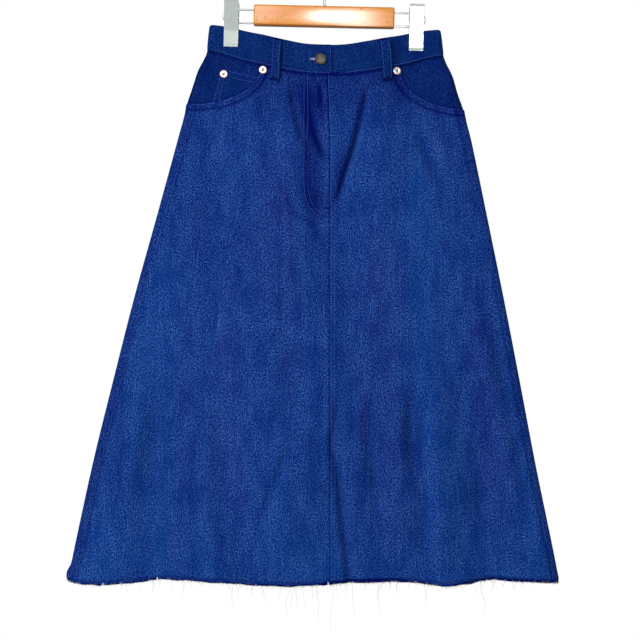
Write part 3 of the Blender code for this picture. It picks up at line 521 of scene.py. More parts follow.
def on_cloth(station, drop, face, rise):
    """Points that stand rise out from the base surface."""
    station, drop, rise = np.broadcast_arrays(*(np.asarray(v, float) for v in (station, drop, rise)))
    return base(station, drop, face) + outward(station, drop, face) * rise[..., None]


def find(x, fall, face):
    """The station and drop of the points at x, and at this fall below the waist's corners."""
    x, fall = np.asarray(x, float), np.asarray(fall, float)
    drop = fall
    for _ in range(12):
        station = station_at(x, drop)
        drop = fall - sag(station * flat_half(drop) / section(drop, "half"), drop, face)
    return station, drop


def lay(x, fall, face, rise):
    return on_cloth(*find(x, fall, face), face, rise)


def scoop(out, margin=0.0):
    """The pocket mouth's fall at a distance out from CENTRE, from where it starts."""
    share = (SCOOP_SIDE - out) / (SCOOP_ACROSS + margin)
    return SCOOP_TOP + (SCOOP_DOWN + margin) * np.sqrt(np.clip(1 - np.maximum(0.0, share) ** 2, 0, 1))


def mouth_drop(station, side, margin=0.0):
    """The drops at which columns of the cloth cross the pocket mouth's line."""
    station = np.asarray(station, float)
    low = np.full(station.shape, BAND)
    high = low + SCOOP_TOP + SCOOP_DOWN
    for _ in range(30):
        drop = (low + high) / 2
        point = base(station, drop, FRONT)
        out = side * (point[..., 0] - CENTRE)
        below = (out > SCOOP_SIDE - SCOOP_ACROSS - margin) & (WAIST_Z - point[..., 2] > scoop(out, margin))
        high, low = np.where(below, drop, high), np.where(below, low, drop)
    return low


def mouth_column(side, margin=0.0):
    """The column through the pocket mouth's near end, counted outwards."""
    near_end = CENTRE + side * (SCOOP_SIDE - SCOOP_ACROSS - margin)
    return side * float(find(near_end, SCOOP_TOP, FRONT)[0])


def mouth_distance(x, fall, side):
    """How far points lie below and inwards of the pocket mouth's edge."""
    out = side * (x - CENTRE)
    across, down = (SCOOP_SIDE - out) / SCOOP_ACROSS, (fall - SCOOP_TOP) / SCOOP_DOWN
    across, down = np.maximum(across, 0.0), np.maximum(down, 0.0)
    round_part = np.sqrt(across**2 + down**2) + 1e-9
    slope = np.sqrt((across / SCOOP_ACROSS) ** 2 + (down / SCOOP_DOWN) ** 2) / round_part + 1e-9
    return (round_part - 1) / slope


def line_distance(x, fall, line):
    """Distances from points to a line of (x, fall) points."""
    found = np.full(np.shape(x), 1e9)
    for (x0, f0), (x1, f1) in zip(line, line[1:]):
        along, down = x1 - x0, f1 - f0
        t = np.clip(((x - x0) * along + (fall - f0) * down) / (along**2 + down**2), 0, 1)
        found = np.minimum(found, np.hypot(x - x0 - t * along, fall - f0 - t * down))
    return found


def pucker(distance, along, height=0.22, reach=9.0, seed=0.0):
    """Small ripples that sewing draws up beside a seam."""
    wave = np.sin(along * 0.55 + 1.9 * np.sin(along * 0.13 + seed) + seed)
    return height * wave * bump(distance, reach)


# ---- making pieces ---------------------------------------------------------------------------------
EDGE = (0.0, 0.25, 0.6, 1.1)  # rows this near an open edge round it over
EDGE_ROUND = 0.9


def edge_squeeze(reach):
    """The share of a sheet's thickness that each side gives up, by the distance to an open edge."""
    close = np.clip(1 - reach / EDGE_ROUND, 0, 1)
    return 0.42 * (1 - np.sqrt(1 - close**2))


def spread(first, last, wide, near=(), far=()):
    """Places from first to last no further apart than wide, with extra ones near each end."""
    inner, outer = first + (near[-1] if near else 0.0), last - (far[-1] if far else 0.0)
    middle = np.linspace(inner, outer, max(2, math.ceil((outer - inner) / wide) + 1))
    return np.unique(np.concatenate((first + np.array(near), middle, last - np.array(far))).round(5))


def add_object(name, data):
    made = bpy.data.objects.new(name, data)
    bpy.context.scene.collection.objects.link(made)
    return made


def put(name, mesh, finish):
    """Adds a mesh to the scene as a piece that rides on the part."""
    mesh.materials.append(finish)
    made = add_object(name, mesh)
    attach(made, "root")
    return made


def mesh_from(name, bm):
    mesh = bpy.data.meshes.new(name)
    bm.to_mesh(mesh)
    bm.free()
    return mesh


def put_shape(name, bm, finish, sharp=40):
    """Adds a bmesh as a piece, smooth but for its edges past the sharp angle, in degrees."""
    mesh = mesh_from(name, bm)
    mesh.shade_smooth()
    mesh.set_sharp_from_angle(angle=math.radians(sharp))
    return put(name, mesh, finish)


def only_verts(made):
    return [g for g in made["geom"] if isinstance(g, bmesh.types.BMVert)]


def round_edges(bm, offset, segments):
    bmesh.ops.bevel(
        bm, geom=bm.edges[:], offset=offset * MM, segments=segments, profile=0.5, affect="EDGES", material=-1
    )


def sheet_solid(name, inner, outer, uv, masks, finish, face=FRONT):
    """A closed sheet of cloth between two grids of points, made by extruding one flat grid into a slab. All
    columns run towards +X, so the back's are turned round to keep its outer side out."""
    grids = {"inner": inner, "outer": outer, "uv": uv, **masks}
    if face == BACK:
        grids = {key: grid[:, ::-1] for key, grid in grids.items()}
    inner, outer, uv = (grids.pop(key) for key in ("inner", "outer", "uv"))
    rows, columns = inner.shape[0] - 1, inner.shape[1] - 1
    bm = bmesh.new()
    bmesh.ops.create_grid(bm, x_segments=columns, y_segments=rows, size=1)
    made = bmesh.ops.extrude_face_region(bm, geom=bm.faces[:], use_keep_orig=True)
    bmesh.ops.translate(bm, vec=(0, 0, 1), verts=only_verts(made))
    at = np.array([vert.co for vert in bm.verts])
    i = np.rint((at[:, 0] + 1) / 2 * columns).astype(int)
    j = np.rint((1 - at[:, 1]) / 2 * rows).astype(int)
    top = at[:, 2] > 0.5
    points = np.where(top[:, None], outer[j, i], inner[j, i]) * MM
    for vert, point in zip(bm.verts, points):
        vert.co = point
    bmesh.ops.recalc_face_normals(bm, faces=bm.faces[:])
    made = put_shape(name, bm, finish, 75)
    mesh = made.data
    corners = np.empty(len(mesh.loops), np.int32)
    mesh.loops.foreach_get("vertex_index", corners)
    mesh.uv_layers.new(name="cloth").data.foreach_set("uv", (uv[j, i][corners] * MM).ravel())
    rim = (i == 0) | (i == columns) | (j == 0) | (j == rows)
    values = {mask: grid[j, i] for mask, grid in grids.items()}
    for mask, kept in {**values, "inside": ~top & ~rim}.items():
        mesh.attributes.new(mask, "FLOAT", "POINT").data.foreach_set("value", kept.astype(np.float32))
    return made


def cloth(name, columns, drops, face, layer, finish, relief, edges, uv_shift=0.0, lean=None):
    """A sheet of cloth on the base surface. drops has a row for each row of the grid and a column for each
    of columns. relief(x, fall, column, station, drop) gives its lift and shade. edges are the open ones, by
    top, bottom, left and right, which are rounded. lean gives the station of a column that slants."""
    column = np.broadcast_to(columns, drops.shape)
    station = lean(column, drops) if lean else column
    points = base(station, drops, face)
    normal = outward(station, drops, face)
    x, fall = points[..., 0], WAIST_Z - points[..., 2]
    lift, shade = relief(x, fall, column, station, drops)
    down = np.cumsum(np.linalg.norm(np.diff(points, axis=0, prepend=points[:1]), axis=-1), axis=0)
    across = np.cumsum(np.linalg.norm(np.diff(points, axis=1, prepend=points[:, :1]), axis=-1), axis=1)
    to_edge = {"t": down, "b": down[-1:] - down, "l": across, "r": across[:, -1:] - across}
    reach = np.min([to_edge[key] for key in edges], axis=0) if edges else np.full(x.shape, 1e9)
    squeeze = (layer.high - layer.low) * edge_squeeze(reach)
    outer = points + normal * (layer.high + lift - squeeze)[..., None]
    inner = points + normal * (layer.low + 0.4 * lift + squeeze)[..., None]
    uv = np.stack((across + points[:, :1, 0] + uv_shift, -down - drops[:1]), axis=-1)
    # shade is painted shade (negative: painted highlight), and tone the lean of the painted sheen.
    masks = {"shade": shade, "tone": tone_at(x * face, drops)}
    return sheet_solid(name, inner, outer, uv, masks, finish, face=face)


def strands(name, lines, radius, finish, sides=1, taper=True):
    """Round threads or wires along lines of points in millimetres, as one mesh."""
    curve = bpy.data.curves.new(name, "CURVE")
    curve.dimensions = "3D"
    curve.bevel_depth = radius * MM
    curve.bevel_resolution = sides
    curve.use_fill_caps = True
    for line in lines:
        spline = curve.splines.new("POLY")
        spline.points.add(len(line) - 1)
        co = np.ones((len(line), 4))
        co[:, :3] = np.asarray(line) * MM
        spline.points.foreach_set("co", co.ravel())
        if taper:
            spline.points.foreach_set("radius", np.linspace(1.0, 0.35, len(line)))
    holder = bpy.data.objects.new(f"{name}_line", curve)
    mesh = bpy.data.meshes.new_from_object(holder)
    mesh.name = name
    bpy.data.objects.remove(holder)
    bpy.data.curves.remove(curve)
    mesh.shade_smooth()
    return put(name, mesh, finish)


def turned(name, profile, matrix, finish, segments=40):
    """A solid of revolution from (radius, height) points that start and end on its axis."""
    bm = bmesh.new()
    verts = [bm.verts.new((radius * MM, 0, height * MM)) for radius, height in profile]
    edges = [bm.edges.new(pair) for pair in zip(verts, verts[1:])]
    whole_turn = {"cent": (0, 0, 0), "axis": (0, 0, 1), "angle": 2 * math.pi, "use_merge": True}
    bmesh.ops.spin(bm, geom=verts + edges, steps=segments, **whole_turn)
    bmesh.ops.remove_doubles(bm, verts=bm.verts[:], dist=0.00001)
    bmesh.ops.recalc_face_normals(bm, faces=bm.faces[:])
    bmesh.ops.transform(bm, matrix=matrix, verts=bm.verts[:])
    return put_shape(name, bm, finish, 50)


def frame_at(x, fall, face, rise):
    """A matrix, in metres, whose +Z leaves the cloth at this place and whose +X runs across it."""
    middle = Vector(lay(x, fall, face, rise))
    across = Vector(lay(x + 2, fall, face, rise) - lay(x - 2, fall, face, rise)).normalized() * face
    down = Vector(lay(x, fall + 2, face, rise) - lay(x, fall - 2, face, rise)).normalized()
    out = down.cross(across).normalized()
    made = Matrix((across, out.cross(across), out)).transposed().to_4x4()
    made.translation = middle * MM
    return made


# ---- materials -------------------------------------------------------------------------------------
class Nodes:
    """Short calls that add and join shader nodes in one tree."""

    def __init__(self, tree):
        self.tree = tree

    def add(self, kind, inputs=None, **settings):
        node = self.tree.nodes.new(kind)
        for key, value in settings.items():
            setattr(node, key, value)
        for key, value in (inputs or {}).items():
            if isinstance(value, bpy.types.NodeSocket):
                self.tree.links.new(value, node.inputs[key])
            else:
                node.inputs[key].default_value = value
        return node

    def join(self, value, socket):
        self.tree.links.new(value, socket)

    def math(self, operation, *values):
        return self.add("ShaderNodeMath", dict(enumerate(values)), operation=operation).outputs[0]

    def plus(self, first, second):
        return self.math("ADD", first, second)

    def times(self, first, second):
        return self.math("MULTIPLY", first, second)

    def attribute(self, name):
        return self.add("ShaderNodeAttribute", attribute_name=name).outputs["Fac"]

    def place(self):
        return self.add("ShaderNodeTexCoord").outputs["Object"]

    def mix(self, share, first, second):
        node = self.add("ShaderNodeMix", data_type="RGBA")
        for key, value in {"Factor": share, "A": first, "B": second}.items():
            socket = [s for s in node.inputs if s.name == key and s.enabled][0]
            if isinstance(value, bpy.types.NodeSocket):
                self.tree.links.new(value, socket)
            else:
                socket.default_value = (*value, 1) if hasattr(value, "__len__") and len(value) == 3 else value
        return [s for s in node.outputs if s.enabled][0]

    def stretch(self, vector, scale):
        return self.add("ShaderNodeVectorMath", {0: vector, 1: scale}, operation="MULTIPLY").outputs[0]

    def noise(self, vector, scale, detail=2.0, roughness=0.5, dimensions="3D"):
        values = {0: self.stretch(vector, scale), "Scale": 1.0, "Detail": detail, "Roughness": roughness}
        return self.add("ShaderNodeTexNoise", values, noise_dimensions=dimensions).outputs["Fac"]

    def between(self, value, low, high, to_low=0.0, to_high=1.0):
        inputs = {"Value": value, "From Min": low, "From Max": high, "To Min": to_low, "To Max": to_high}
        return self.add("ShaderNodeMapRange", inputs).outputs["Result"]


def new_group(name, colours, values, results):
    """An empty shader node group that takes the named colours and values and gives a colour and results."""
    group = bpy.data.node_groups.new(name, "ShaderNodeTree")
    for in_out, titles, kind in (
        ("INPUT", colours, "Color"), ("INPUT", values, "Float"), ("OUTPUT", ("Color",), "Color"),
        ("OUTPUT", results, "Float"),
    ):
        for title in titles:
            group.interface.new_socket(title, in_out=in_out, socket_type="NodeSocket" + kind)
    nodes = Nodes(group)
    return group, nodes, nodes.add("NodeGroupInput").outputs, nodes.add("NodeGroupOutput")


def denim_weave():
    """Warp-faced twill: slanting lines, slubby vertical yarns, pale specks, a slow drift of the dye, and the
    painted shade, highlight and sheen that the shade and tone attributes carry.
    """
    group, n, given, out = new_group(
        "denim_weave", ("Warp", "Weft", "Violet", "Teal", "Reverse", "Deep"),
        ("Specks", "Streaks", "Drift", "Twill"), ("Height", "Fuzz"),
    )
    uv = n.add("ShaderNodeUVMap", uv_map="cloth").outputs[0]
    apart = n.add("ShaderNodeSeparateXYZ", {0: uv}).outputs
    slant = n.math("DIVIDE", n.plus(apart[0], n.times(apart[1], 0.75)), given["Twill"])
    lines = n.math("SINE", n.times(slant, 2 * math.pi))
    specks = n.noise(uv, (640, 430, 1), 2.5, 0.75, "2D")
    yarns = n.noise(uv, (620, 26, 1), 2.0, 0.6, "2D")
    slubs = n.noise(uv, (330, 9, 1), 2.0, 0.55, "2D")
    cloudy = n.noise(uv, (46, 24, 1), 3.0, 0.55, "2D")
    drift = n.noise(uv, (17, 2.3, 1), 3.0, 0.5, "2D")
    moved = n.add("ShaderNodeVectorMath", {0: uv, 1: (3.1, 1.7, 0)}).outputs[0]
    shade_drift = n.noise(moved, (24, 3, 1), 3.0, 0.6, "2D")
    # The dye's random drift, plus the painted sheen bands that the tone attribute carries.
    lean = n.plus(n.between(drift, 0.25, 0.80, -0.85, 0.85), n.times(n.attribute("tone"), 1.1))
    lean = n.times(lean, given["Drift"])
    tinted = n.mix(n.between(lean, 0.1, 1.0), given["Warp"], given["Violet"])
    tinted = n.mix(n.between(lean, -0.1, -1.0), tinted, given["Teal"])
    pale = n.times(n.between(specks, 0.49, 0.73), n.between(cloudy, 0.32, 0.66, 0.35, 1.0))
    pale = n.times(pale, given["Specks"])
    streak = n.times(n.between(yarns, 0.52, 0.76), n.between(slubs, 0.42, 0.64))
    pale = n.plus(pale, n.times(streak, given["Streaks"]))
    # The shade attribute is painted shade: it mixes in the deep colour below, and where negative it paints a
    # highlight as more pale weft.
    shade = n.attribute("shade")
    pale = n.plus(pale, n.times(lines, 0.05))
    pale = n.plus(pale, n.between(shade, 0.0, -1.0, 0.0, 0.8))
    face = n.mix(n.between(pale, 0, 1), tinted, given["Weft"])
    deep = n.times(n.between(specks, 0.52, 0.33), 0.95)
    deep = n.plus(deep, n.between(shade_drift, 0.42, 0.68, 0.0, 0.22))
    deep = n.plus(deep, n.between(shade, 0.0, 1.2, 0.0, 1.08))
    face = n.mix(n.between(deep, 0, 1), face, given["Deep"])
    grey = n.mix(n.between(specks, 0.4, 0.7), given["Reverse"], given["Warp"])
    n.join(n.mix(n.attribute("inside"), face, grey), out.inputs["Color"])
    height = n.plus(n.times(lines, 0.35), n.times(specks, 1.3))
    n.join(n.plus(height, n.times(yarns, 0.8)), out.inputs["Height"])
    n.join(specks, out.inputs["Fuzz"])
    return group


def scuffed_metal():
    """Fine random scratches and soft stains for any of the metals."""
    group, n, given, out = new_group(
        "scuffed_metal", ("Metal", "Stain"), ("Amount", "Roughness", "Scuff"), ("Roughness", "Height")
    )
    place = n.place()
    fine = n.noise(place, (900, 900, 900), 2.0)
    blotch = n.noise(place, (140, 140, 110), 4.0, 0.6)
    brushed = n.noise(place, (2600, 2600, 160), 2.0, 0.7)
    stained = n.times(n.between(blotch, 0.42, 0.70), given["Amount"])
    n.join(n.mix(stained, given["Metal"], given["Stain"]), out.inputs["Color"])
    rough = n.plus(n.between(blotch, 0.3, 0.7, 0, 0.14), n.between(brushed, 0.4, 0.8, 0, 0.10))
    n.join(n.plus(given["Roughness"], n.times(rough, given["Scuff"])), out.inputs["Roughness"])
    n.join(n.plus(fine, brushed), out.inputs["Height"])
    return group


def placed_group(n, build, values):
    """The node group that build makes, built once, and placed in a material with its own values."""
    group = bpy.data.node_groups.get(build.__name__) or build()
    node = n.add("ShaderNodeGroup", node_tree=group)
    settle(node, values)
    return node


def settle(node, values):
    """Gives plain values to a node's inputs."""
    for key, value in values.items():
        node.inputs[key].default_value = (*value, 1) if hasattr(value, "__len__") else value


def start_material(name):
    """A new material, short calls for its nodes, and its Principled shader."""
    made = bpy.data.materials.new(name)
    made.use_nodes = True
    return made, Nodes(made.node_tree), made.node_tree.nodes["Principled BSDF"]


def roughen(n, shader, height, distance, strength=1.0):
    """Feeds a height through a Bump node into the shader's normal."""
    node = n.add("ShaderNodeBump", {"Height": height, "Distance": distance, "Strength": strength})
    n.join(node.outputs[0], shader.inputs["Normal"])


def denim(name, warp, specks, streaks, drift, weft=None):
    settings = bpy.context.scene.skirt_cloth
    made = bpy.data.materials.get(name)
    if made:
        return made
    made, n, shader = start_material(name)
    weave = placed_group(n, denim_weave, {
        "Warp": warp, "Weft": weft or settings.weft, "Violet": settings.violet, "Teal": settings.teal,
        "Reverse": settings.reverse, "Deep": settings.deep, "Specks": specks, "Streaks": streaks,
        "Drift": drift, "Twill": settings.twill,
    })
    n.join(weave.outputs["Color"], shader.inputs["Base Color"])
    n.join(n.between(weave.outputs["Fuzz"], 0.3, 0.7, 0.92, 0.78), shader.inputs["Roughness"])
    roughen(n, shader, weave.outputs["Height"], 0.00016, 0.55)
    settle(shader, {"Specular IOR Level": 0.02})
    return made


def panel_denim():
    return denim("panel_denim", bpy.context.scene.skirt_cloth.warp, 1.8, 0.65, 0.9)


def band_denim():
    return denim("band_denim", bpy.context.scene.skirt_cloth.band, 0.85, 0.3, 0.3, weft=(0.030, 0.13, 0.50))


def toned(tone, share):
    """A colour made darker or lighter."""
    return tuple(share * c for c in tone)


def thread_finish(name, tone, roughness=0.6):
    """Twisted yarn: fine slanting plies across a matt thread."""
    made = bpy.data.materials.get(name)
    if made:
        return made
    made, n, shader = start_material(name)
    ply = n.noise(n.place(), (2400, 2400, 1500), 1.0)
    n.join(n.mix(n.between(ply, 0.3, 0.7), toned(tone, 0.62), tone), shader.inputs["Base Color"])
    settle(shader, {"Roughness": roughness, "Specular IOR Level": 0.04})
    roughen(n, shader, ply, 0.0001, 0.5)
    return made


def metal(name, tone, stain, amount, roughness, metallic=1.0, scuff=1.0):
    made = bpy.data.materials.get(name)
    if made:
        return made
    made, n, shader = start_material(name)
    values = {"Metal": tone, "Stain": stain, "Amount": amount, "Roughness": roughness, "Scuff": scuff}
    scuffs = placed_group(n, scuffed_metal, values)
    n.join(scuffs.outputs["Color"], shader.inputs["Base Color"])
    n.join(scuffs.outputs["Roughness"], shader.inputs["Roughness"])
    settle(shader, {"Metallic": metallic})
    roughen(n, shader, scuffs.outputs["Height"], 0.00003, 0.4 * scuff)
    return made


def wire_steel():
    tone = bpy.context.scene.skirt_hanger.wire
    return metal("wire_steel", tone, toned(tone, 0.5), 0.5, 0.28)


def varnished_wood():
    """Long fine grain with growth bands, small dark pores, a clear varnish, and painted shade along the lower
    edge.
    """
    settings = bpy.context.scene.skirt_hanger
    made, n, shader = start_material("varnished_wood")
    place = n.place()
    grain = n.noise(place, (9, 420, 420), 4.0, 0.6)
    bands = n.noise(place, (5, 60, 95), 3.0, 0.5)
    pores = n.noise(place, (70, 520, 520), 1.0)
    specks = n.noise(place, (420, 420, 420), 0.0)
    share = n.plus(n.between(grain, 0.42, 0.72, 0, 0.5), n.between(bands, 0.45, 0.75, 0, 0.6))
    tone = n.mix(n.between(share, 0, 1), settings.wood, settings.grain)
    tone = n.mix(n.between(pores, 0.70, 0.80, 0, 0.25), tone, (0.22, 0.08, 0.02))
    tone = n.mix(n.between(specks, 0.76, 0.80), tone, (0.10, 0.03, 0.01))
    # Painted shade: the colour darkens towards the bar's lower edge.
    low = n.add("ShaderNodeSeparateXYZ", {0: place}).outputs[2]
    foot = (BAR_TOP - BAR_HEIGHT) * MM
    tone = n.mix(n.between(low, foot + 0.0036, foot + 0.0012, 0, 0.8), tone, (0.42, 0.12, 0.02))
    n.join(tone, shader.inputs["Base Color"])
    varnish = {"Coat Weight": 1.0, "Coat Roughness": 0.17, "Coat IOR": 1.55}
    settle(shader, {"Roughness": 0.42, "Specular IOR Level": 0.0, **varnish})
    roughen(n, shader, n.plus(grain, pores), 0.00006, 0.35)
    return made


def woven_tape():
    """The zip's herringbone tape."""
    made, n, shader = start_material("woven_tape")
    uv = n.add("ShaderNodeUVMap", uv_map="cloth").outputs[0]
    ribs = n.noise(uv, (1500, 900, 1), 1.0, 0.5, "2D")
    n.join(n.mix(ribs, (0.006, 0.010, 0.05), (0.02, 0.03, 0.11)), shader.inputs["Base Color"])
    settle(shader, {"Roughness": 0.85})
    roughen(n, shader, ribs, 0.0002, 0.6)
    return made


# ---- the panels ------------------------------------------------------------------------------------
ROW, COLUMN = 4.0, 0.0125  # the panels' row spacing, and column spacing in stations
SIDE_ROW = 10.0  # sewing this far in from the skirt's silhouette
SIDE_ROUND = math.pi / 2 - 1  # how much longer the way round the side's turn is than straight across it
SEAM_ROWS = (2.6, 8.0)  # the centre seam's two rows, from the seam
MOUTH_ROWS = (1.5, 8.0)  # a pocket mouth's two rows, from its edge
FLY_EDGE_ROW = 2.0  # the fly's single row on the left front, from the seam
FLY_SHADE, FLY_SHADE_X = 0.62, -16.0  # the shade of the fly's hollow, and its x at drop 90
FLY_HALF = 17.0  # half the hollow's width
TOP_SHADE, TOP_SHADE_REACH = 0.46, 90.0  # the panels' painted shade below the waistband
HEM_SHADE, HEM_SHADE_X, HEM_SHADE_HALF = 0.9, 82.0, 46.0  # painted shade, as of a dark fold, along the left front's foot
TUCKED = 4.0  # the panels' reach up behind the waistband


def seam_lean(column, drop):
    """The station of a front column, where column 0 runs down the centre seam."""
    return column + station_at(centre_seam(drop), drop) * np.maximum(0.0, 1 - np.abs(column) / SEAM_REACH)


def to_side_seam(station, drop):
    """Distance round the cloth to the side seam."""
    turn = section(drop, "turn")
    beyond = np.clip(np.abs(station) - 1, 0, 1)
    return turn * np.pi / 2 * (1 - beyond) + np.clip(1 - np.abs(station), 0, 1) * flat_half(drop)


def side_row(drop):
    """The side seam's sewing, as a distance round the cloth from the seam."""
    return SIDE_ROW + SIDE_ROUND * section(drop, "turn")


def side_station(distance, drop):
    turn = section(drop, "turn") * np.pi / 2
    return np.where(distance > turn, 1 - (distance - turn) / flat_half(drop), 2 - distance / turn)


# In the reliefs, a row of sewing takes a bump from the lift and adds one to the painted shade, at a distance
# from it.
def sewn(distance, width, rows, height=0.6):
    """The lift and shade of a seam's doubled cloth: raised over its width, and pinched along its rows."""
    lift = height * (1 - smooth((distance - width) / 2.5))
    shade = 0.0
    for row in rows:
        lift = lift - 0.4 * bump(distance - row, 1.1)
        shade = shade + 0.30 * bump(distance - row, 1.2)
    return lift, shade


def common_relief(x, station, drop, side):
    """Waist seam, side seam and hem, which every panel has."""
    from_side = to_side_seam(station, drop)
    row = side_row(drop)
    # The shade here is painted shade: along the side seam's row and outside it, under the waistband's edge,
    # and along the row above the hem.
    lift, shade = sewn(from_side, row + 1.5, (), 0.5)
    lift = lift - 0.45 * bump(from_side - row, 1.1) + pucker(from_side - row, drop, 0.2, 8, side)
    shade = shade + 0.35 * bump(from_side - row, 1.3) + 0.22 * (1 - smooth((from_side - row) / 4))
    below = drop - band_foot(station)
    lift = lift + pucker(below, x, 0.28, 9, 2 + side) - 0.35 * bump(below, 1.6)
    shade = shade + 0.95 * bump(below - 0.6, 2.0) + 0.15 * bump(below, 7)
    shade = shade + TOP_SHADE * (1 - smooth((below - 12) / TOP_SHADE_REACH))
    above = PANEL_FOOT - drop
    lift = lift + pucker(above - 3, x, 0.25, 7, 5 + side) - 0.25 * bump(above - 1.2, 0.9)
    shade = shade + 0.25 * bump(above - 1.2, 1.0)
    return lift, shade


def front_relief(side):
    """The lift and shade of a front, by x, fall, column, station and drop."""

    def relief(x, fall, column, station, drop):
        lift, shade = common_relief(x, station, drop, side)
        mouth = mouth_distance(x, fall, side)
        more, dark = sewn(mouth, 9.0, (MOUTH_ROWS[1],), 0.55)
        # Painted shade along the pocket mouth's outer row and just inside its edge.
        dark = dark + 0.60 * bump(mouth - 8.8, 1.5) + 0.45 * bump(mouth - 3.2, 0.9)
        on_mouth = side * (x - CENTRE) > SCOOP_SIDE - SCOOP_ACROSS - 12
        lift = lift + np.where(on_mouth, more + pucker(mouth - 5, x + fall, 0.25, 7, 1), 0)
        shade = shade + np.where(on_mouth, dark, 0) + crease_shade(x, drop, FRONT)
        seam, below = np.abs(column) * flat_half(drop), drop - band_foot(station)
        fly = 1 - smooth((drop - FLY_DROP) / 12)
        if side < 0:
            lift = lift + fly * 0.9 * bump(seam - 2.2, 3.2) - (1 - fly) * 0.5 * bump(seam, 1.6)
            lift = lift + pucker(seam, drop, 0.3, 8, 3)
            for row in (FLY_OUTER, FLY_INNER):
                off = line_distance(x, fall, row)
                lift = lift - 0.35 * bump(off, 1.3) + pucker(off, drop, 0.22, 6, 4)
                shade = shade + 0.50 * bump(off, 1.5)
            # Painted shade in the fly's hollow.
            hollow = bump(x - FLY_SHADE_X - 0.05 * (drop - 90), FLY_HALF) * smooth((seam - 3.5) / 6)
            hollow = hollow * smooth((below - 8) / 30) * (1 - smooth((drop - 225) / 40))
            shade = shade + 0.6 * bump(seam, 1.0) + FLY_SHADE * hollow
        else:
            more, dark = sewn(seam, 10.0, SEAM_ROWS, 0.6)
            lift = lift + (1 - fly) * more - fly * 0.35 * bump(seam - FLY_EDGE_ROW, 1.3)
            lift = lift + pucker(seam - 5, drop, 0.3, 8, 6)
            # Painted shade in the hollow beside the fly's long slant.
            hollow = bump(x - 27 + 0.16 * (drop - 170), 13) * bump(drop - 190, 52)
            shade = shade + (1 - fly) * dark + 0.45 * bump(seam, 1.0) + 0.4 * hollow
            at_foot = 1 - smooth((PANEL_FOOT - drop) / 2.2)
            shade = shade + HEM_SHADE * bump(x - HEM_SHADE_X, HEM_SHADE_HALF) * at_foot
        return lift, shade

    return relief


def back_relief(side):
    """The lift and shade of a back, by the same five; fall is not used."""

    def relief(x, fall, column, station, drop):
        lift, shade = common_relief(x, station, drop, side)
        seam = np.abs(column) * flat_half(drop)
        more, dark = sewn(seam, 10.0, SEAM_ROWS, 0.6) if side > 0 else (-0.4 * bump(seam, 1.6), 0.0)
        lift = lift + more + pucker(seam - 4, drop, 0.3, 8, 7)
        return lift, shade + dark + 0.55 * bump(seam, 1.2) + crease_shade(x, drop, BACK)

    return relief


def front_columns(side):
    """Columns of a front from the centre seam to the side seam, closer where sewing or the mouth needs it."""
    mouth = mouth_column(side)
    fine = 1 / flat_half(LENGTH)
    near = [mm * fine for mm in EDGE]
    fly = spread(0, 0.21, 0.0065, near)
    inner = np.linspace(0.21, mouth - 0.002, 46)
    angles = np.linspace(0, math.pi / 2, 62)
    outer = mouth + (1 - mouth) * (1 - np.cos(angles))
    turn = np.linspace(0.955, 2.0, 34)
    columns = np.concatenate((fly, inner, outer[outer < 0.955], turn))
    return np.unique(columns.round(6))


def panel_rows(tops):
    """The drops of each row, from each column's top to the panel's foot."""
    near = np.array([*EDGE, 1.7, 2.6, 3.6, 5, 6.5, 8, 9.5, 11])
    far = np.array([7.0, 5.0, 3.5, 2.4, 1.8, *EDGE[::-1]])
    middle = np.linspace(0, 1, round((PANEL_FOOT - BAND) / ROW))[1:-1, None]
    top, foot = tops[None, :], np.full_like(tops, PANEL_FOOT)[None, :]
    inner, outer = top + near[-1], foot - far[0]
    return np.concatenate((top + near[:, None], inner + (outer - inner) * middle, foot - far[:, None]))


def make_front(name, side):
    columns = front_columns(side)
    if side > 0:
        columns = np.concatenate((np.array([-10.0, -6.0, -3.0, -1.2]) / flat_half(BAND), columns))
    at_band = band_foot(columns) - TUCKED
    tops = np.where(columns >= mouth_column(side), mouth_drop(side * columns, side), at_band)

    def relief(x, fall, column, station, drop):
        lift, shade = front_relief(side)(x, fall, column, station, drop)
        if side > 0:
            under = 1 - smooth((column * flat_half(BAND) + 0.4) / 1.2)
            lift = lift - under * (PANEL.high + GAP)
        return lift, shade

    columns, rows = (side * columns)[::side], panel_rows(tops[::side])
    return cloth(name, columns, rows, FRONT, PANEL, panel_denim(), relief, "tb", 137.0 * side, seam_lean)


class SKIRT_OT_fronts(Operator):
    """Makes the two front panels, lapped at the fly and scooped at the pocket mouths"""

    bl_idname = "skirt.fronts"
    bl_label = "Front Panels"

    def execute(self, context):
        for word, side in SIDES:
            made = make_front(f"denim_front_{word}", side)
            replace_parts(made, f"front_{word}")
        return {"FINISHED"}


class SKIRT_OT_backs(Operator):
    """Makes the two back panels, which meet at the centre back seam"""

    bl_idname = "skirt.backs"
    bl_label = "Back Panels"

    def execute(self, context):
        fine = 1 / flat_half(LENGTH)
        inner = spread(0.15 * fine, 0.955, COLUMN, [mm * fine for mm in (*EDGE, 2, 3, 4.5, 6, 7, 8, 9, 11)])
        columns = np.unique(np.concatenate((inner, np.linspace(0.955, 2.0, 34))))
        rows = panel_rows(band_foot(columns) - TUCKED)
        for word, side in SIDES:
            across, name = (side * columns)[::side], f"denim_back_{word}"
            relief = back_relief(side)
            made = cloth(name, across, rows, BACK, PANEL, panel_denim(), relief, "tb", 411.0 * side)
            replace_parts(made, f"back_{word}")
        return {"FINISHED"}


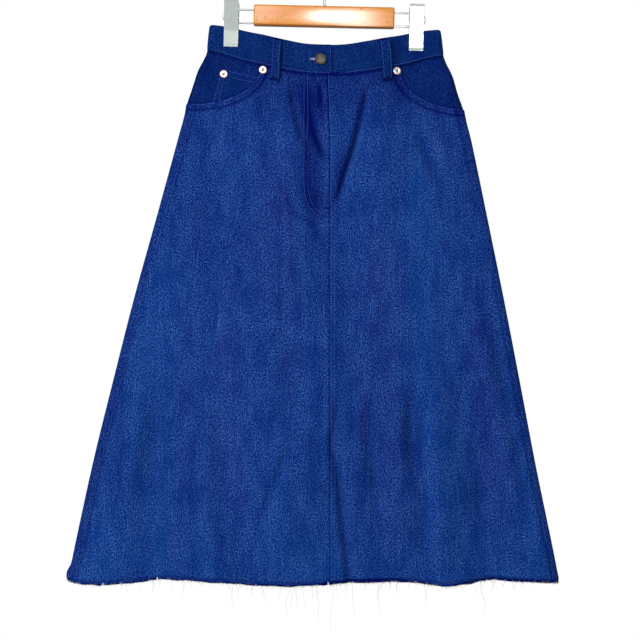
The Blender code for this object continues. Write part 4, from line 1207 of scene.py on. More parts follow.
# ---- the waistband ---------------------------------------------------------------------------------
def band_relief(x, fall, column, station, drop):
    """The waistband puffs a little between its folded top edge and the sewing at its foot."""
    foot = band_foot(station) - drop
    lift = 0.35 * np.sin(np.clip(drop / BAND, 0, 1) * np.pi) - 0.55 * bump(foot - 2.2, 1.2)
    lift = lift + pucker(foot - 2, x, 0.22, 8, 1.0) + pucker(drop, x, 0.10, 5, 2.0)
    # Painted shade along the sewing at the foot and the folded top edge.
    shade = 0.30 * bump(foot - 2.2, 1.3) + 0.25 * bump(drop, 1.5)
    return lift, shade


def band_rows(columns):
    near, far = (0.0, 0.25, 0.6, 1.1, 2, 3.2, 4.6), np.array([4, 2.9, 2.2, 1.6, *EDGE[::-1]])[:, None]
    foot = band_foot(columns)[None, :]
    middle = near[-1] + (foot - far[0] - near[-1]) * np.linspace(0, 1, 16)[1:-1, None]
    return np.concatenate((np.array(near)[:, None] + 0 * foot, middle, foot - far))


def cut_buttonhole(band):
    """Cuts the keyhole: an eye round the button's shank, and a slit away from the band's end."""
    bm = bmesh.new()
    eye, reach, slit = (SHANK_RADIUS + 0.6) * MM, 12 * MM, 1.3
    bmesh.ops.create_cone(bm, cap_ends=True, segments=24, radius1=eye, radius2=eye, depth=reach)
    slot = bmesh.ops.create_cube(bm, size=1)["verts"]
    bmesh.ops.scale(bm, vec=Vector((BUTTONHOLE * MM, slit * MM, reach)), verts=slot)
    bmesh.ops.translate(bm, vec=Vector((-BUTTONHOLE / 2 * MM, 0, 0)), verts=slot)
    bmesh.ops.transform(bm, matrix=frame_at(BUTTON_X, BUTTON_FALL, FRONT, 0.6), verts=bm.verts[:])
    cutter = add_object("buttonhole_cutter", mesh_from("buttonhole_cutter", bm))
    cut = band.modifiers.new("buttonhole", "BOOLEAN")
    cut.operation, cut.object, cut.use_self = "DIFFERENCE", cutter, True
    graph = bpy.context.evaluated_depsgraph_get()
    done = bpy.data.meshes.new_from_object(band.evaluated_get(graph))
    band.modifiers.clear()
    band.data = done
    bpy.data.objects.remove(cutter)


class SKIRT_OT_waistband(Operator):
    """Makes the waistband's three lengths and cuts its keyhole buttonhole"""

    bl_idname = "skirt.waistband"
    bl_label = "Waistband"

    def execute(self, context):
        turn = np.linspace(1.0, 2.0, 9)[1:]
        step = 3.0 / flat_half(0)
        right_end = float(station_at(BAND_END, BAND))
        near = [mm / flat_half(BAND) for mm in (*EDGE, 2, 3, 4)]
        right = np.concatenate((-turn[::-1], spread(-1.0, right_end, step, (), near)))
        tuck_end = float(station_at(BAND_END - UNDERLAP, BAND))
        left = np.concatenate((spread(tuck_end, 1.0, step, near), turn))
        back = np.concatenate((-turn[::-1], spread(-1.0, 1.0, step), turn))

        def left_relief(x, fall, column, station, drop):
            lift, shade = band_relief(x, fall, column, station, drop)
            under = 1 - smooth((column - right_end) * flat_half(BAND) / 14 - 0.1)
            return lift * (1 - under) - under * (WAISTBAND.high - WAISTBAND.low + GAP), shade

        made = []
        for name, columns, face, relief, edges in (
            ("waistband_right", right, FRONT, band_relief, "tbr"),
            ("waistband_left", left, FRONT, left_relief, "tbl"),
            ("waistband_back", back, BACK, band_relief, "tb"),
        ):
            rows = band_rows(columns)
            piece = cloth("denim_" + name, columns, rows, face, WAISTBAND, band_denim(), relief, edges)
            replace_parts(piece, name)
            made.append(piece)
        cut_buttonhole(made[0])
        return {"FINISHED"}


# ---- pockets, fly and loops ------------------------------------------------------------------------
class SKIRT_OT_pockets(Operator):
    """Makes the facings inside the pocket mouths, and the coin pocket"""

    bl_idname = "skirt.pockets"
    bl_label = "Pocket Facings and Coin Pocket"

    def execute(self, context):
        for word, side in SIDES:
            first = mouth_column(side, FACING_MARGIN)
            angles = np.linspace(0, math.pi / 2, 40)
            columns = np.concatenate((first + (1 - first) * (1 - np.cos(angles)), np.linspace(1, 2, 9)[1:]))
            columns = (side * columns)[::side]
            feet = mouth_drop(columns, side, FACING_MARGIN)
            share, tops = np.linspace(0, 1, 34)[:, None], band_foot(columns) - TUCKED
            rows = tops + share * (feet - tops)[None, :]

            def relief(x, fall, column, station, drop, side=side):
                lift, shade = common_relief(x, station, drop, side)
                mouth = mouth_distance(x, fall, side)
                # Painted shade, half the panel's, and more behind the mouth's edge.
                return 0.6 * lift, 0.5 * shade + 0.5 * bump(mouth, 3.0)

            name = f"denim_facing_{word}"
            made = cloth(name, columns, rows, FRONT, POCKET_FACING, band_denim(), relief, "", 53.0 * side)
            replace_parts(made, f"pocket_facing_{word}")
        self.coin_pocket()
        return {"FINISHED"}

    def coin_pocket(self):
        """A patch from its own mouth down behind the front, doubled along its mouth and outer side."""
        outer, top_outer = (float(v) for v in find(*COIN_OUTER, FRONT))
        inner, top_inner = (float(v) for v in find(*COIN_INNER, FRONT))
        fine = 1 / flat_half(BAND)
        columns = spread(outer, inner, 2.2 * fine, [mm * fine for mm in (*EDGE, 2, 3, 4)])
        tops = top_outer + (top_inner - top_outer) * (columns - outer) / (inner - outer)
        feet = mouth_drop(columns, -1, FACING_MARGIN - 2)
        near = np.array([*EDGE, 1.8, 2.6, 3.6, 5])
        share = np.linspace(0, 1, 16)[1:, None]
        rows = np.concatenate((tops + near[:, None], tops + near[-1] + share * (feet - tops - near[-1])))

        def relief(x, fall, column, station, drop):
            lift, shade = 0.0, 0.0
            for row in (*COIN_SIDE_ROWS, *COIN_MOUTH_ROWS):
                off = line_distance(x, fall, row)
                lift = lift - 0.3 * bump(off, 1.1) + pucker(off, x + fall, 0.15, 5, 2)
                shade = shade + 0.3 * bump(off, 1.3)
            # Painted shade along the rows and behind the front's pocket mouth.
            return lift, shade + 0.5 * bump(mouth_distance(x, fall, -1), 3.0)

        made = cloth("denim_coin_pocket", columns, rows, FRONT, COIN_POCKET, band_denim(), relief, "tl", 71.0)
        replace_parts(made, "coin_pocket")


TOOTH_PITCH, TOOTH = 2.3, (3.0, 1.3, 1.4)  # the zip's teeth: apart, and each one's size


def hanging_strip(name, strip, layer, finish):
    """A straight strip of cloth behind the fly, along the centre seam."""
    across = np.linspace(-0.5, 0.5, 13)
    falls = np.linspace(strip.top, strip.bottom, 60)
    x = centre_seam(falls)[:, None] + strip.offset + strip.width * across[None, :]
    fall = np.repeat(falls[:, None], len(across), axis=1)
    inner, outer = (lay(x, fall, FRONT, rise) for rise in layer)
    uv = np.stack((x, -fall), axis=-1)
    return sheet_solid(name, inner, outer, uv, {"shade": np.zeros_like(x)}, finish)


class SKIRT_OT_fly(Operator):
    """Makes the fly shield, and the zip with its tape, teeth and slider"""

    bl_idname = "skirt.fly"
    bl_label = "Fly and Zip"

    def execute(self, context):
        settings = context.scene.skirt_hanger
        blue, tape = band_denim(), woven_tape()
        for name, node, strip, layer, finish, slot, above in (
            ("denim_fly_shield", "fly_shield", SHIELD_STRIP, FLY_SHIELD, blue, "denim", "waistband_left"),
            ("zip_woven_tape", "zip_tape", TAPE_STRIP, ZIP_TAPE, tape, "zip_tape", "denim_fly_shield"),
        ):
            made = hanging_strip(name, strip, layer, finish)
            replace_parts(made, node)
        bright = metal("zip_alloy", settings.plate, (0.4, 0.36, 0.3), 0.4, 0.3)
        bm = bmesh.new()
        for k, fall in enumerate(np.arange(CHAIN_STRIP.top, CHAIN_STRIP.bottom, TOOTH_PITCH)):
            x = float(centre_seam(fall)) + CHAIN_STRIP.offset + (0.9 if k % 2 else -0.9)
            self.block(bm, frame_at(x, fall, FRONT, CHAIN_RISE), (0, 0, 0), TOOTH)
        round_edges(bm, 0.25, 1)
        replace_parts(put_shape("zip_teeth", bm, bright), "zip_chain")
        self.slider(bright)
        return {"FINISHED"}

    def block(self, bm, place, at, size):
        shape = Matrix.Translation(Vector(at) * MM) @ Matrix.Diagonal((*(Vector(size) * MM), 1))
        bmesh.ops.create_cube(bm, size=1, matrix=place @ shape)

    def slider(self, bright):
        """The slider's body: two plates on each side of the chain, and the bridge that joins them."""
        bm = bmesh.new()
        fall = (SLIDER_STRIP.top + SLIDER_STRIP.bottom) / 2
        place = frame_at(float(centre_seam(fall)) + SLIDER_STRIP.offset, fall, FRONT, CHAIN_RISE)
        for rise in (-0.75, 0.75):
            self.block(bm, place, (0, 0, rise), (7.6, 12, 0.5))
        self.block(bm, place, (0, 4.5, 0), (2, 2.6, 1.2))
        round_edges(bm, 0.2, 2)
        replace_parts(put_shape("zip_slider_body", bm, bright), "zip_slider")


def loop_grid(face, x_top, x_foot):
    """Stations and drops down a belt loop, with its seat and bow as a rise out from the base surface."""
    centre = CENTRE if face == FRONT else 0.0
    across = np.array([0.0, 0.02, 0.06, 0.14, 0.22, 0.34, 0.5, 0.66, 0.78, 0.86, 0.94, 0.98, 1.0])
    share = np.linspace(0, 1, 44)[:, None]
    drop = LOOP_TOP + (LOOP_REACH - LOOP_TOP) * share + 0 * across
    x = centre + x_top + (x_foot - x_top) * share + LOOP_WIDTH * (across - 0.5)
    station = station_at(x, drop)
    seat = WAISTBAND.high + (PANEL.high - WAISTBAND.high) * smooth((drop - band_foot(station) - 1) / 4)
    bow = LOOP_BOW * (1 - (2 * share - 1) ** 4)
    return station, drop, seat + LOOP_SEAT + bow, across, share


class SKIRT_OT_loops(Operator):
    """Makes the five belt loops, bowed so that a belt passes behind them"""

    bl_idname = "skirt.loops"
    bl_label = "Belt Loops"

    def execute(self, context):
        for name, face, x_top, x_foot in LOOPS:
            station, drop, rise, across, share = loop_grid(face, x_top, x_foot)
            edge = np.minimum(across, 1 - across) * LOOP_WIDTH + 0 * share
            end = np.minimum(share, 1 - share) * LOOP_REACH
            squeeze = LOOP_THICKNESS * edge_squeeze(np.minimum(edge, end))
            pinch = 0.30 * (bump(edge - 1.9, 0.8) + 1.6 * bump(end - 2.4, 1.4))
            ripple = 0.10 * np.sin(drop * 0.9 + x_top) * bump(edge - 1.9, 3)
            inner = on_cloth(station, drop, face, rise + squeeze)
            outer = on_cloth(station, drop, face, rise + LOOP_THICKNESS - squeeze - pinch + ripple)
            uv = np.stack((across * LOOP_WIDTH + x_top + 0 * share, -drop), axis=-1)
            # Painted shade along the loop's edges, its rows and its ends.
            shade = 0.15 * bump(edge - 1.9, 0.9) + 0.45 * bump(end - 2.4, 2.0) + 0.55 * bump(edge, 0.6)
            made = sheet_solid("denim_" + name, inner, outer, uv, {"shade": shade}, band_denim(), face=face)
            made.data.attributes["inside"].data.foreach_set("value", np.zeros(len(made.data.vertices)))
            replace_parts(made, name)
        return {"FINISHED"}


# ---- the raw hem -----------------------------------------------------------------------------------
Thread = namedtuple("Thread", "place length lean")  # place across, length down and lean to the right
LONG_THREADS = (
    Thread(-0.780, 12, -3), Thread(-0.555, 22, 3), Thread(-0.335, 34, -4), Thread(-0.215, 26, 2),
    Thread(-0.095, 40, -6), Thread(-0.045, 30, 1), Thread(0.012, 50, 3), Thread(0.082, 66, -2),
    Thread(0.142, 22, -1), Thread(0.158, 44, 5), Thread(0.268, 50, 2), Thread(0.292, 24, -9),
    Thread(0.345, 20, 2), Thread(0.462, 22, 3), Thread(0.478, 28, -3), Thread(0.702, 44, 6),
    Thread(0.745, 16, 5), Thread(0.862, 14, -8),
)
BACK_THREADS = 0.6  # the back's long threads are the front's, mirrored and this much as long
SHORT_THREADS = 46
STUBS = 310  # short warp ends along each panel's foot
LINT = 165  # tiny pale loops of weft among them
# How much of the frayed strip's depth, from its foot, is dark, by place across: tight dark yarn with painted
# shade where the strip curls in.
Dark = namedtuple("Dark", "place share")
HEM_DARK = (
    Dark(-1.0, 0.35), Dark(-0.35, 0.45), Dark(-0.1, 0.55), Dark(0.0, 0.5), Dark(0.1, 1.1), Dark(0.33, 1.2),
    Dark(0.42, 0.6), Dark(0.56, 0.5), Dark(0.66, 0.8), Dark(1.0, 0.8),
)
Notch = namedtuple("Notch", "x half depth")
NOTCHES = (Notch(-290.7, 1.6, 3.8), Notch(-215.4, 1.2, 5.2), Notch(22.8, 0.9, 6.5))


def thread_line(start, face, length, lean, rng, points=7):
    """A limp thread that hangs from start, with a slow wave in it."""
    share = np.linspace(0, 1, points)
    wave = rng.uniform(1.2, 3.6) * min(1.0, length / 18)
    phase, turns = rng.uniform(0, 6.28), rng.uniform(3.5, 8.5)
    x = lean * share**2 + np.sin(share * math.pi) * lean * 0.5 + wave * np.sin(share * turns + phase) * share
    y = -face * (1.5 * share + 0.5 * np.cos(share * 4 + phase) * share)
    return start + np.stack((x, y, -length * share), axis=-1)


def round_hem(first, last, share):
    """The station at this share of the way round the hem, by distance."""
    beyond = section(LENGTH, "turn") * math.pi / 2 / flat_half(LENGTH)
    ends = [math.copysign(min(abs(v), 1) + max(abs(v) - 1, 0) * beyond, v) for v in (first, last)]
    at = ends[0] + (ends[1] - ends[0]) * share
    return float(at if abs(at) <= 1 else math.copysign(1 + (abs(at) - 1) / beyond, at))


class SKIRT_OT_hem(Operator):
    """Makes each panel's frayed strip below its stay stitching, with warp ends and loose weft threads"""

    bl_idname = "skirt.hem"
    bl_label = "Raw Hem"

    def execute(self, context):
        settings = context.scene.skirt_sewing
        colours = context.scene.skirt_cloth
        navy = denim("frayed_denim", colours.warp, 0.8, 0.3, 0.0)
        pale = thread_finish("loose_weft", settings.loose, 0.8)
        blue = thread_finish("warp_stubs", toned(colours.deep, 1.3), 0.8)
        middle = float(station_at(centre_seam(LENGTH), LENGTH))
        for face_word, face, parting in (("front", FRONT, middle), ("back", BACK, 0.0)):
            rng = random.Random(7 if face == FRONT else 19)
            for word, side in SIDES:
                name = f"{face_word}_{word}"
                first, last = sorted((parting, 2.0 * side))
                pieces = [
                    self.strip(name, first, last, face, rng, navy),
                    self.weft(name, first, last, face, rng, pale),
                    self.warp(name, first, last, face, rng, blue),
                ]
                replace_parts(pieces[0], f"hem_{face_word}")
        return {"FINISHED"}

    def strip(self, name, first, last, face, rng, finish):
        """The strip itself, ragged at its foot and curled a little inwards."""
        notches = NOTCHES if face == FRONT else ()
        beside = [n.x + off * n.half for n in notches for off in (-1, -0.5, 0, 0.5, 1)]
        beside = station_at(np.array(beside), LENGTH)
        stations = np.concatenate((np.linspace(first, last, 340), [-0.98, 0.98], beside))
        stations = np.unique(stations[(stations >= first) & (stations <= last)])
        weights = (0.2, 0.25, 0.3, 0.2, 0.1, 0.1, 0.1)
        noise = np.convolve([rng.uniform(-1, 1) for _ in range(len(stations) + 6)], weights, "valid")
        ragged = 1.1 * noise + 0.5 * np.sin(stations * 40)
        x = section(LENGTH, "lean") + flat_half(LENGTH) * stations
        for notch in notches:
            ragged = ragged - notch.depth * np.clip(1 - np.abs(x - notch.x) / notch.half, 0, 1)
        share = np.linspace(0, 1, 10)[:, None]
        drop = PANEL_FOOT + np.maximum(FRAY - 0.6 + ragged, 0.3) * share
        curl = -1.6 * share**2 + 0 * ragged
        station = np.broadcast_to(stations, drop.shape)
        inner = on_cloth(station, drop, face, HEM_STRIP.low + curl + 0.25 * share)
        outer = on_cloth(station, drop, face, HEM_STRIP.high + curl - 0.25 * share)
        uv = np.stack((station * 340, -drop), axis=-1)
        dark = read(HEM_DARK, "share", np.clip(stations, -1, 1))
        masks = {"shade": smooth((share - 1 + dark) / 0.2 + 0.5)}
        return sheet_solid(f"frayed_strip_{name}", inner, outer, uv, masks, finish, face)

    def weft(self, name, first, last, face, rng, finish):
        """Loose pale weft threads, and tiny loops of them left as lint."""
        shorter = 1.0 if face == FRONT else BACK_THREADS
        threads = [Thread(face * t.place, t.length * shorter, t.lean) for t in LONG_THREADS]
        for k in range(SHORT_THREADS):
            place = -0.94 + 1.88 * (k + rng.uniform(0.1, 0.9)) / SHORT_THREADS
            threads.append(Thread(place, rng.uniform(3, 12), rng.uniform(-4, 4)))
        lines = []
        for thread in threads:
            if not first <= thread.place <= last:
                continue
            start = on_cloth(thread.place, LENGTH - 2, face, -0.4)
            lines.append(thread_line(start, face, thread.length + 2, thread.lean, rng, 9))
            if thread.length > 18 and rng.random() < 0.6:
                start = on_cloth(thread.place + rng.uniform(0.004, 0.012), LENGTH - 2, face, -0.2)
                length = thread.length * rng.uniform(0.3, 0.7)
                lines.append(thread_line(start, face, length, -thread.lean, rng, 7))
        for _ in range(LINT):
            place, drop = round_hem(first, last, rng.random()), LENGTH - rng.uniform(0.4, 3.2)
            start = on_cloth(place, drop, face, rng.uniform(-0.6, 1.0))
            lines.append(thread_line(start, face, rng.uniform(0.8, 2.6), rng.uniform(-2.5, 2.5), rng, 4))
        return strands(f"loose_weft_{name}", lines, 0.24, finish, sides=0)

    def warp(self, name, first, last, face, rng, finish):
        """Short dark warp ends along the foot."""
        lines = []
        for k in range(STUBS):
            place = round_hem(first, last, (k + rng.random()) / STUBS)
            start = on_cloth(place, LENGTH - 2.6, face, rng.uniform(-1.2, 0.8))
            lines.append(thread_line(start, face, rng.uniform(1.6, 4.0), rng.uniform(-0.9, 0.9), rng, 4))
        return strands(f"warp_stubs_{name}", lines, 0.30, finish, sides=0)


# ---- the sewing ------------------------------------------------------------------------------------
def resample(points, pitch):
    """Places a stitch apart along a line of points, and the line's direction at each."""
    legs = np.linalg.norm(np.diff(points, axis=0), axis=1)
    reach = np.concatenate(([0], np.cumsum(legs)))
    count = max(1, round(reach[-1] / pitch))
    middle = (np.arange(count) + 0.5) * reach[-1] / count

    def at(where):
        return np.stack([np.interp(where, reach, points[:, k]) for k in range(3)], axis=1)

    ahead = at(middle + 0.5) - at(middle - 0.5)
    return at(middle), ahead / np.linalg.norm(ahead, axis=1, keepdims=True)


def add_stitches(bm, middles, directions, outs, length, width):
    """Adds one plump, slightly sunken stitch at each place."""
    for middle, ahead, out in zip(middles, directions, outs):
        x, z = Vector(ahead), Vector(out)
        y = z.cross(x).normalized()
        turn = Matrix((x, y, x.cross(y))).transposed().to_4x4()
        scale = Matrix.Diagonal((length / 2 * MM, width / 2 * MM, width / 2 * MM, 1))
        matrix = Matrix.Translation(Vector(middle) * MM) @ turn @ scale
        bmesh.ops.create_icosphere(bm, subdivisions=1, radius=1, matrix=matrix)


class Row(namedtuple("Row", "station drop face rise")):
    """A line of sewing, by stations and drops on the base surface, and its height out from it."""


def row_by_place(line, face, rise, samples=60):
    """A row from (x, fall) points, smoothed through them."""
    line = np.asarray(line, float)
    reach = np.concatenate(([0], np.cumsum(np.hypot(*np.diff(line, axis=0).T))))
    fine = np.linspace(0, reach[-1], samples)
    x, fall = (np.interp(fine, reach, line[:, k]) for k in range(2))
    for _ in range(3):
        x[1:-1] = (x[:-2] + 2 * x[1:-1] + x[2:]) / 4
        fall[1:-1] = (fall[:-2] + 2 * fall[1:-1] + fall[2:]) / 4
    return Row(*find(x, fall, face), face, rise)


def mouth_row(side, offset):
    """A row along a pocket mouth, this far outside its edge."""
    angle = np.linspace(math.radians(4), math.radians(90), 70)
    out = SCOOP_SIDE - (SCOOP_ACROSS + offset) * np.cos(angle)
    fall = SCOOP_TOP + (SCOOP_DOWN + offset) * np.sin(angle)
    out = np.concatenate((out, [out[-1] + 4]))
    fall = np.concatenate((fall, fall[-1:]))
    return Row(*find(CENTRE + side * out, fall, FRONT), FRONT, PANEL.high + 0.30)


def topstitching():
    """Every row of pale topstitching."""
    flat, band = PANEL.high, WAISTBAND.high
    rows = []
    down = np.linspace(BAND + 4, PANEL_FOOT - 1, 260)
    for side in (-1, 1):
        rows.append(mouth_row(side, MOUTH_ROWS[0]))
        below = down[down > mouth_drop(side * 0.97, side) + 2]
        station = side * side_station(side_row(below), below)
        rows += [Row(station, below, face, flat + 0.3) for face in (FRONT, BACK) if face * side < 0]
    for offset in SEAM_ROWS:
        seam = down[down > FLY_DROP + 6]
        column = offset / flat_half(seam)
        rows.append(Row(seam_lean(column, seam), seam, FRONT, flat + 0.45))
        rows.append(Row(offset / flat_half(down), down, BACK, flat + 0.45))
    fly = np.linspace(BAND + 2.5, FLY_DROP + 8, 80)
    rows.append(Row(seam_lean(FLY_EDGE_ROW / flat_half(fly), fly), fly, FRONT, flat + 0.1))
    rows += [row_by_place(line, FRONT, flat - 0.15) for line in (FLY_OUTER, FLY_INNER)]
    coin = (*COIN_SIDE_ROWS, *COIN_MOUTH_ROWS)
    rows += [row_by_place(line, FRONT, COIN_POCKET.high - 0.10) for line in coin]
    across = np.linspace(-1.0, 1.0, 160)
    foot = band_foot(across) - 2.2
    end = float(station_at(BAND_END, BAND))
    keep = across < end - 0.008
    rows.append(Row(across[keep], foot[keep], FRONT, band - 0.25))
    rows.append(Row(across[across > end + 0.12], foot[across > end + 0.12], FRONT, band - 0.25))
    rows.append(Row(across, foot, BACK, band - 0.25))
    edge = np.linspace(1.5, BAND - 1.5, 20)
    rows.append(Row(station_at(BAND_END - 2.0, edge), edge, FRONT, band + 0.10))
    return rows


def quiet_stitching():
    """Rows in the cloth's own colour: above the hem, outside the pocket mouths and down two side seams."""
    hem, down = np.linspace(-1.95, 1.95, 240), np.linspace(BAND + 4, PANEL_FOOT - 1, 260)
    rows = [Row(hem, np.full(240, PANEL_FOOT - 1.2), face, PANEL.high - 0.10) for face in (FRONT, BACK)]
    for side, face in ((1, FRONT), (-1, BACK)):
        below = down[down > mouth_drop(side * 0.97, side) + 2]
        rows.append(Row(side * side_station(side_row(below), below), below, face, PANEL.high + 0.05))
    return [*rows, *(mouth_row(side, MOUTH_ROWS[1]) for side in (-1, 1))]


def loop_rows():
    """Two rows down each belt loop."""
    rows = []
    for _, face, x_top, x_foot in LOOPS:
        station, drop, rise, across, _ = loop_grid(face, x_top, x_foot)
        for place in (0.15, 0.85):
            at = [np.interp(place, across, line) for line in station[2:-2]]
            rows.append(Row(np.array(at), drop[2:-2, 0], face, rise[2:-2, 0] + LOOP_THICKNESS))
    return rows


def tack_places():
    """Bar tacks: x, fall, face, rise, length, and how far the middle hangs below the ends."""
    tacks = [(11.6, 255.3, FRONT, PANEL.high, 11.7, 0), (-10.4, 236.8, FRONT, PANEL.high, 8.6, 2.1)]
    for _, face, x_top, x_foot in LOOPS:
        centre = CENTRE if face == FRONT else 0.0
        for drop, x in ((3.0, x_top), (LOOP_REACH - 2.4, x_foot)):
            station = station_at(centre + x, drop)
            fall = WAIST_Z - float(base(station, drop, face)[2])
            share = (drop - LOOP_TOP) / (LOOP_REACH - LOOP_TOP)
            seat = WAISTBAND.high if drop < BAND else PANEL.high
            rise = seat + LOOP_SEAT + LOOP_BOW * (1 - (2 * share - 1) ** 4) + LOOP_THICKNESS
            tacks.append((centre + x, fall, face, rise, LOOP_WIDTH - 2.6, 0))
    return tacks


class SKIRT_OT_sewing(Operator):
    """Sews every row of topstitching, the bar tacks and the buttonhole's edge"""

    bl_idname = "skirt.sewing"
    bl_label = "Sewing"

    def execute(self, context):
        settings = context.scene.skirt_sewing
        length, width, pitch = settings.length / MM, settings.width / MM, settings.pitch / MM
        thread = thread_finish("topstitch_thread", settings.thread)
        blue = thread_finish("quiet_thread", toned(context.scene.skirt_cloth.warp, 1.2))
        for name, rows, finish in (
            ("topstitching", topstitching(), thread),
            ("loop_stitching", loop_rows(), thread),
            ("quiet_stitching", quiet_stitching(), blue),
        ):
            bm = bmesh.new()
            for row in rows:
                points = on_cloth(row.station, row.drop, row.face, row.rise)
                middles, ahead = resample(points, pitch)
                outs = outward(row.station, row.drop, row.face)
                index = np.linspace(0, len(outs) - 1, len(middles)).round().astype(int)
                add_stitches(bm, middles, ahead, outs[index], length, width)
            put_shape(name, bm, finish, 180)
        self.tacks(thread_finish("tack_thread", settings.dark_thread))
        self.buttonhole(settings)
        return {"FINISHED"}

    def tacks(self, finish):
        bm = bmesh.new()
        for x, fall, face, rise, length, hang in tack_places():
            across = np.arange(-length / 2, length / 2, 0.55)
            falls = fall + hang * (1 - (2 * across / length) ** 2) + 0.12 * (-1.0) ** np.arange(len(across))
            middles = list(lay(x + across, falls, face, rise))
            station, drop = find(x, fall, face)
            out = outward(station, drop, face)
            down = np.array([[0.10 * (-1) ** k, 0, -1] for k in range(len(across))])
            add_stitches(bm, middles, down, [out] * len(across), 2.3, 0.62)
        put_shape("bar_tacks", bm, finish, 180)

    def buttonhole(self, settings):
        """Close stitches round the slit and the eye, and the pale wedge of gimp beside the button."""
        finish = thread_finish("buttonhole_thread", toned(settings.thread, 0.55))
        pale = thread_finish("buttonhole_gimp", (0.80, 0.80, 0.84))
        eye = SHANK_RADIUS + 0.8
        line = [(-BUTTONHOLE + 1 + k * 0.62, hand * 0.9, 0, hand) for k in range(20) for hand in (-1, 1)]
        ways = [(math.cos(a), math.sin(a)) for a in np.arange(-2.6, 2.61, 0.24)]
        line += [(eye * across, eye * up, across, up) for across, up in ways]
        bm, gimp = bmesh.new(), bmesh.new()
        for dx, dy, ox, oy in line:
            middle = lay(BUTTON_X + dx + 0.6 * ox, BUTTON_FALL - dy - 0.6 * oy, FRONT, WAISTBAND.high + 0.35)
            add_stitches(bm, [middle], [(ox, 0, oy)], [(0, -1, 0)], 2.0, 0.6)
        for k in range(13):
            dx = -BUTTON_RADIUS - 0.55 * k
            middle = lay(BUTTON_X + dx, BUTTON_FALL, FRONT, WAISTBAND.high + 0.45)
            add_stitches(gimp, [middle], [(0.2, 0, 1)], [(0, -1, 0)], 3.9 - 0.26 * k, 0.75)
        put_shape("buttonhole_stitching", bm, finish, 180)
        put_shape("buttonhole_gimp", gimp, pale, 180)


# ---- button and rivets -----------------------------------------------------------------------------
class SKIRT_OT_hardware(Operator):
    """Makes the shank button and the three rivets"""

    bl_idname = "skirt.hardware"
    bl_label = "Button and Rivets"

    def execute(self, context):
        settings = context.scene.skirt_hanger
        radius, shank = BUTTON_RADIUS, SHANK_RADIUS
        brass = metal("antique_brass", settings.brass, (0.030, 0.024, 0.017), 0.8, 0.46)
        seat = WAISTBAND.low - WAISTBAND.high
        profile = (
            (0, seat), (shank, seat), (shank, 0.5), (radius - 0.9, 0.45), (radius - 0.35, 0.7), (radius, 1.2),
            (radius + 0.05, 1.9), (radius - 0.2, 2.7), (radius - 0.7, 3.15), (radius - 1.2, 3.25),
            (radius - 1.65, 3.1), (radius - 2.0, 2.65), (radius - 2.5, 2.6), (4.0, 2.75), (3.2, 2.95),
            (2.6, 2.8), (1.2, 2.9), (0, 2.95),
        )
        place = frame_at(BUTTON_X, BUTTON_FALL, FRONT, PANEL.high + 0.6)
        button = turned("brass_button", profile, place, brass, 56)
        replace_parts(button, "button")
        copper = metal("copper", settings.copper, (0.30, 0.12, 0.06), 0.3, 0.22)
        # The domes are bright metal with a painted highlight: their near-white colour is mostly diffuse.
        bright = metal("bright_dome", settings.bright, toned(settings.bright, 0.92), 0.2, 0.25, 0.3)
        worn = metal("worn_copper", (0.20, 0.11, 0.06), (0.08, 0.04, 0.02), 0.6, 0.45, 0.5)
        ring = RIVET_RADIUS
        rim = (
            (0, -0.3), (ring - 0.4, -0.3), (ring - 0.05, 0.1), (ring, 0.5), (ring - 0.1, 0.9),
            (ring - 0.4, 1.2), (ring - 0.9, 1.35), (ring - 1.2, 1.1), (0, 1.1),
        )
        dome = (
            (0, 0.9), (ring - 1.0, 0.9), (ring - 0.85, 1.25), (ring - 1.1, 1.6), (ring - 1.7, 1.85),
            (ring - 2.6, 1.8), (ring - 3.3, 1.5), (ring - 3.9, 1.15), (0, 1.1),
        )
        dot = ((0, 1.0), (1.45, 1.0), (1.5, 1.35), (1.2, 1.65), (0.7, 1.8), (0, 1.85))
        parts = (("rim", rim, copper), ("dome", dome, bright), ("middle", dot, worn))
        for name, x, fall, rise in RIVETS:
            place = frame_at(x, fall, FRONT, rise + 0.8)
            for part, profile, finish in parts:
                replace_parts(turned(f"{name}_{part}", profile, place, finish), name)
        return {"FINISHED"}


# ---- the hanger ------------------------------------------------------------------------------------
def arc(centre_x, centre_z, radius, first, last, count):
    angles = np.radians(np.linspace(first, last, count + 1))
    x, z = centre_x + radius * np.cos(angles), centre_z + radius * np.sin(angles)
    return np.stack((x, 0 * angles, z), axis=-1)


def hook_line():
    """A straight stem, a smooth bend out to the circle, and the circle over to the tip."""
    circle = arc(0, -HOOK_INSIDE, HOOK_INSIDE + HOOK_WIRE, -40, 205, 60)
    bend, reach, lean = np.array((0, 0, BAR_TOP + 20)), 13.0, math.radians(40)
    tangent = np.array((math.sin(lean), 0, math.cos(lean)))
    first, second = bend + (0, 0, reach), circle[0] - tangent * reach
    t = np.linspace(0, 1, 25)[:-1, None]
    curve = bend * (1 - t) ** 3 + first * 3 * t * (1 - t) ** 2
    curve = curve + second * 3 * t * t * (1 - t) + circle[0] * t**3
    return np.concatenate(([(0, 0, BAR_TOP - 6)], curve, circle))


